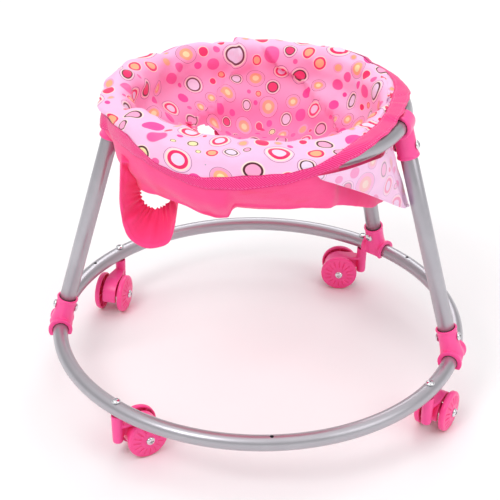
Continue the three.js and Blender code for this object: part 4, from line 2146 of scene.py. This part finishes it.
# Share of the way from hem to gathered edge, depth, and strength of the gathers at each row.
CUFF_PROFILE: Sequence[tuple[float, float, float]] = (
    (-0.10, -53.5, 0.1), (-0.07, -57.0, 0.1), (-0.03, -60.6, 0.1), (0.0, -62.2, 0.05),
    (0.05, -62.6, 0.05), (0.13, -61.8, 0.05), (0.19, -60.2, 0.1), (0.34, -57.6, 0.3),
    (0.56, -53.8, 0.5), (0.76, -50.0, 0.75), (0.90, -47.4, 1.0), (0.98, -45.8, 1.0),
    (1.04, -44.6, 1.0), (1.02, -43.4, 0.9), (0.96, -43.6, 0.9),
)


@dataclass
class LegCuff:
    """A drooping loop of cloth round a leg hole, drawn in by elastic at its inner edge."""

    name: str
    mirror: bool
    shift: float = 0.0
    nearer: float = 0.0
    top: float = 240.0
    around: int = 288
    steps: int = 4
    flat_round: float = 170.0
    gathers: int = 19
    outer: Sequence[tuple[float, float]] = (
        (-98, 219), (-100.5, 213), (-101.7, 200), (-102.3, 187), (-101.8, 173), (-100.2, 164),
        (-95.8, 154), (-86, 147.4), (-76.5, 147.4), (-67, 153), (-62.8, 168), (-61, 183),
        (-65, 200), (-80, 213),
    )
    inner: Sequence[tuple[float, float]] = (
        (-88, 200), (-89, 195), (-89.2, 189), (-89.2, 183), (-88, 177.5), (-85.5, 173.5),
        (-82, 171), (-78.5, 170), (-74.7, 171), (-70.5, 173.5), (-66.6, 178.6), (-64, 185),
        (-66, 194), (-76, 201),
    )

    @staticmethod
    def _loop(corners: Sequence[tuple[float, float]], count: int) -> Array:
        """A smooth closed loop through corners, read at even steps.

        Args:
            corners: Corners, in order.
            count: How many points are read.

        Returns:
            The loop's points.
        """
        ring = np.array(corners, float)[:, None, :]
        spline = smooth_rows(np.concatenate([ring[-1:], ring, ring[:2]]), 16)[16:-16, 0]
        at = np.linspace(0, 1, len(spline))
        want = np.arange(count) / count
        return np.stack([np.interp(want, at, spline[:, k]) for k in range(2)], -1)

    def build(self) -> bpy.types.Object:
        """Builds the cuff: its hem, its funnel and its gathered edge.

        Returns:
            The finished object.
        """
        outer, inner = (self._loop(c, self.around) for c in (self.outer, self.inner))
        middle = inner.mean(axis=0)
        turn = np.arange(self.around) * 2 * math.pi / self.around
        rows = []
        wave = np.sin(turn * self.gathers + 1.6 * np.sin(turn * 5) + np.sin(turn * 3 + 1))
        slow = np.sin(turn * 7 + 0.8) + 0.6 * np.sin(turn * 11)
        for share, depth, gather in CUFF_PROFILE:
            section = outer + (inner - outer) * share
            away = section - middle
            away /= np.linalg.norm(away, axis=1)[:, None]
            ripple = gather**2 * 0.75 * wave + 0.8 * math.sin(math.pi * min(share, 1)) * slow
            section = section + away * ripple[:, None]
            ruffle = depth + gather**3 * 0.5 * np.cos(turn * self.gathers)
            rows.append(np.stack([section[:, 0], ruffle, section[:, 1]], -1))
        points = smooth_rows(np.array(rows), self.steps)
        points[..., 0] += self.shift
        points[..., 1] += self.nearer
        above = np.maximum(points[..., 2] - self.top, 0)
        points[..., 2] -= 0.7 * above
        if self.mirror:
            points[..., 1] *= -1
        flat = np.zeros((len(points), self.around + 1, 2))
        flat[..., 0] = np.arange(self.around + 1) * self.flat_round / self.around
        flat[..., 1] = down_cloth(points)[:, None]
        row = np.arange(len(points)) / self.steps
        # Depth here is painted shade, deepening into the cuff's funnel.
        depth = 0.1 + 0.9 * step_up(row, 5.2, 9)
        grid = ClothGrid(points, flat, depth[:, None] + np.zeros(self.around), True, self.mirror)
        soft = Ripples(41 + self.mirror, 8, 26).at(points) * 0.55
        grid.push(soft * bump(row - 7, 3.5)[:, None])
        return grid.build(self.name)


@dataclass
class ClothSeat:
    """The hung seat: printed bag, pink outer panel, binding, side flap and leg cuffs."""

    ring: Ring
    leg_angles: Sequence[float]
    printed: bpy.types.Material
    wrong_side: bpy.types.Material
    plain: bpy.types.Material
    twill: bpy.types.Material

    def build(self) -> None:
        """Builds and dresses all the seat's cloth, and logs the area of each piece."""
        rim = Rim(self.ring, self.leg_angles)
        pattern = CirclePrint()
        liner = Liner(rim).build()
        pattern.print_on(liner)
        dress(liner, self.printed, "printed_cloth", "frame", "seat_liner")
        shell = dress(Shell(rim).build(), self.plain, "pink_cloth", "frame", "seat_shell")
        flap = SideFlap().build()
        pattern.print_on(flap)
        dress(flap, self.wrong_side, "printed_cloth", "frame", "side_flap")
        band = dress(Binding(rim).build(), self.twill, "band_twill", "frame", "seat_band")
        cuffs = [LegCuff("leg_cuff.near", False), LegCuff("leg_cuff.far", True, 10.0, 8.0, 198.0)]
        for cuff, node in zip(cuffs, ("leg_cuff_front", "leg_cuff_rear"), strict=True):
            made = dress(cuff.build(), self.plain, "pink_cloth", "frame", node)
            LOG.info("%s has %.4f m2 of cloth", made.name, cut_area(made))
        for made in (liner, shell, flap, band):
            LOG.info("%s has %.4f m2 of cloth", made.name, cut_area(made))


# ---- Studio --------------------------------------------------------------------------


@dataclass(frozen=True)
class Lamp:
    """One large soft round lamp: where it hangs, its size in metres and its power."""

    name: str
    place: tuple[float, float, float]
    size: float
    power: float


@dataclass
class Studio:
    """A pale floor, soft lamps and the camera."""

    floor_finish: bpy.types.Material
    floor_size: float = 9.0
    elevation: float = 30.18158
    roll: float = 0.6974
    lens: float = 89.453
    distance: float = 6.948938
    aside: float = -0.04514
    ahead: float = 0.69344
    floor_drop: float = 0.05
    world_strength: float = 1.0
    aim: tuple[float, float, float] = (0.0, 0.0, 0.15)
    lamps: tuple[Lamp, ...] = (
        Lamp("key", (-0.8, -0.9, 1.5), 0.8, 9),
        Lamp("fill", (1.2, -0.7, 1.0), 1.0, 4),
        Lamp("back", (0.2, 1.3, 1.3), 0.9, 5),
    )
    sky: tuple[tuple[float, float], ...] = (
        (-0.98, 0.95), (0.06, 0.95), (0.22, 0.48), (0.5, 0.46), (0.72, 0.98), (0.96, 1.2)
    )

    def build(self, ring: Ring) -> None:
        """Builds the floor, the lamps and the camera.

        Args:
            ring: The base ring, whose middle the camera is set from.
        """
        half = self.floor_size / 2
        corners = np.array([(-half, -half, 0), (half, -half, 0), (half, half, 0), (-half, half, 0)])
        floor = make_object("studio_floor", corners / MM - [0, 0, self.floor_drop], [(0, 1, 2, 3)])
        floor.data.materials.append(self.floor_finish)
        self._add_world()
        for lamp in self.lamps:
            self._add_lamp(lamp)
        self._add_camera(ring)

    def _add_world(self) -> None:
        """Adds the white surroundings."""
        world = bpy.data.worlds.new("surroundings")
        world.use_nodes = True
        tree = world.node_tree
        background = tree.nodes["Background"]
        background.inputs["Strength"].default_value = self.world_strength
        parts = tree.nodes.new("ShaderNodeSeparateXYZ")
        shades = tree.nodes.new("ShaderNodeValToRGB")
        height = tree.nodes.new("ShaderNodeMapRange")
        height.inputs["From Min"].default_value = -1.0
        tree.links.new(tree.nodes.new("ShaderNodeTexCoord").outputs["Generated"], parts.inputs[0])
        tree.links.new(parts.outputs["Z"], height.inputs["Value"])
        tree.links.new(height.outputs["Result"], shades.inputs["Fac"])
        tree.links.new(shades.outputs["Color"], background.inputs["Color"])
        ramp = shades.color_ramp
        ramp.elements.remove(ramp.elements[1])
        for place, shade in self.sky:
            step = ramp.elements.new((place + 1) / 2)
            step.color = (shade, shade, shade, 1.0)
        ramp.elements.remove(ramp.elements[0])
        bpy.context.scene.world = world

    def _add_lamp(self, lamp: Lamp) -> None:
        """Adds a lamp aimed at the seat.

        Args:
            lamp: The lamp.
        """
        light = bpy.data.lights.new(lamp.name, "AREA")
        light.shape, light.size, light.energy = "DISK", lamp.size, lamp.power
        holder = bpy.data.objects.new(lamp.name, light)
        holder.location = lamp.place
        way = Vector(self.aim) - Vector(lamp.place)
        holder.rotation_euler = way.to_track_quat("-Z", "Y").to_euler()
        bpy.context.scene.collection.objects.link(holder)

    def _add_camera(self, ring: Ring) -> None:
        """Adds the camera, placed by the base ring's middle and radius.

        Args:
            ring: The base ring.
        """
        tilt, roll = math.radians(self.elevation), math.radians(self.roll)
        forward = Vector((0, math.cos(tilt), -math.sin(tilt)))
        right = Vector((1, 0, 0))
        up = right.cross(forward)
        across = right * math.cos(roll) + up * math.sin(roll)
        upright = up * math.cos(roll) - right * math.sin(roll)
        unit = ring.radius * MM
        place = Vector((self.aside, self.ahead, 0)) - forward * self.distance
        place = place * unit + Vector((0, 0, ring.height * MM))
        lens = bpy.data.cameras.new("camera")
        lens.sensor_width, lens.lens = 36.0, self.lens
        lens.clip_start, lens.clip_end = 0.05, 50.0
        holder = bpy.data.objects.new("camera", lens)
        turn = Matrix((across, upright, -forward)).transposed().to_4x4()
        turn.translation = place
        holder.matrix_world = turn
        bpy.context.scene.collection.objects.link(holder)
        bpy.context.scene.camera = holder
        bpy.context.scene.view_settings.view_transform = "Standard"


# ---- The walker ----------------------------------------------------------------------


def main() -> None:
    """Builds the walker round its frame and sets up the studio."""
    logging.basicConfig(level=logging.INFO, format="%(name)s: %(message)s")
    plastic = PinkPlastic().make()
    # The wheels' third colour is their painted shade in recesses.
    wheel_plastic = PinkPlastic("wheel_plastic", (1.0, 0.065, 0.30), (0.92, 0.02, 0.13)).make()
    screws = ScrewBox(BrightSteel().make())
    tubes = TubeFrame(PaintedTube().make(), plastic, screws)
    Studio(StudioFloor().make()).build(tubes.base)
    tubes.build()
    wheel = Wheel()
    for name in ("front_left", "front_right", "rear_left", "rear_right"):
        Caster(name, plastic, wheel_plastic, screws, tubes.base).build(wheel)
    wrong_side = PrintedCloth("printed_cloth_back", (0.97, 0.62, 0.84), (1.0, 0.4, 0.66), 0.55)
    ClothSeat(
        tubes.top, [leg.angle for leg in tubes.legs], PrintedCloth().make(), wrong_side.make(),
        PlainCloth().make(), Twill().make(),
    ).build()


if __name__ == "__main__":
    main()
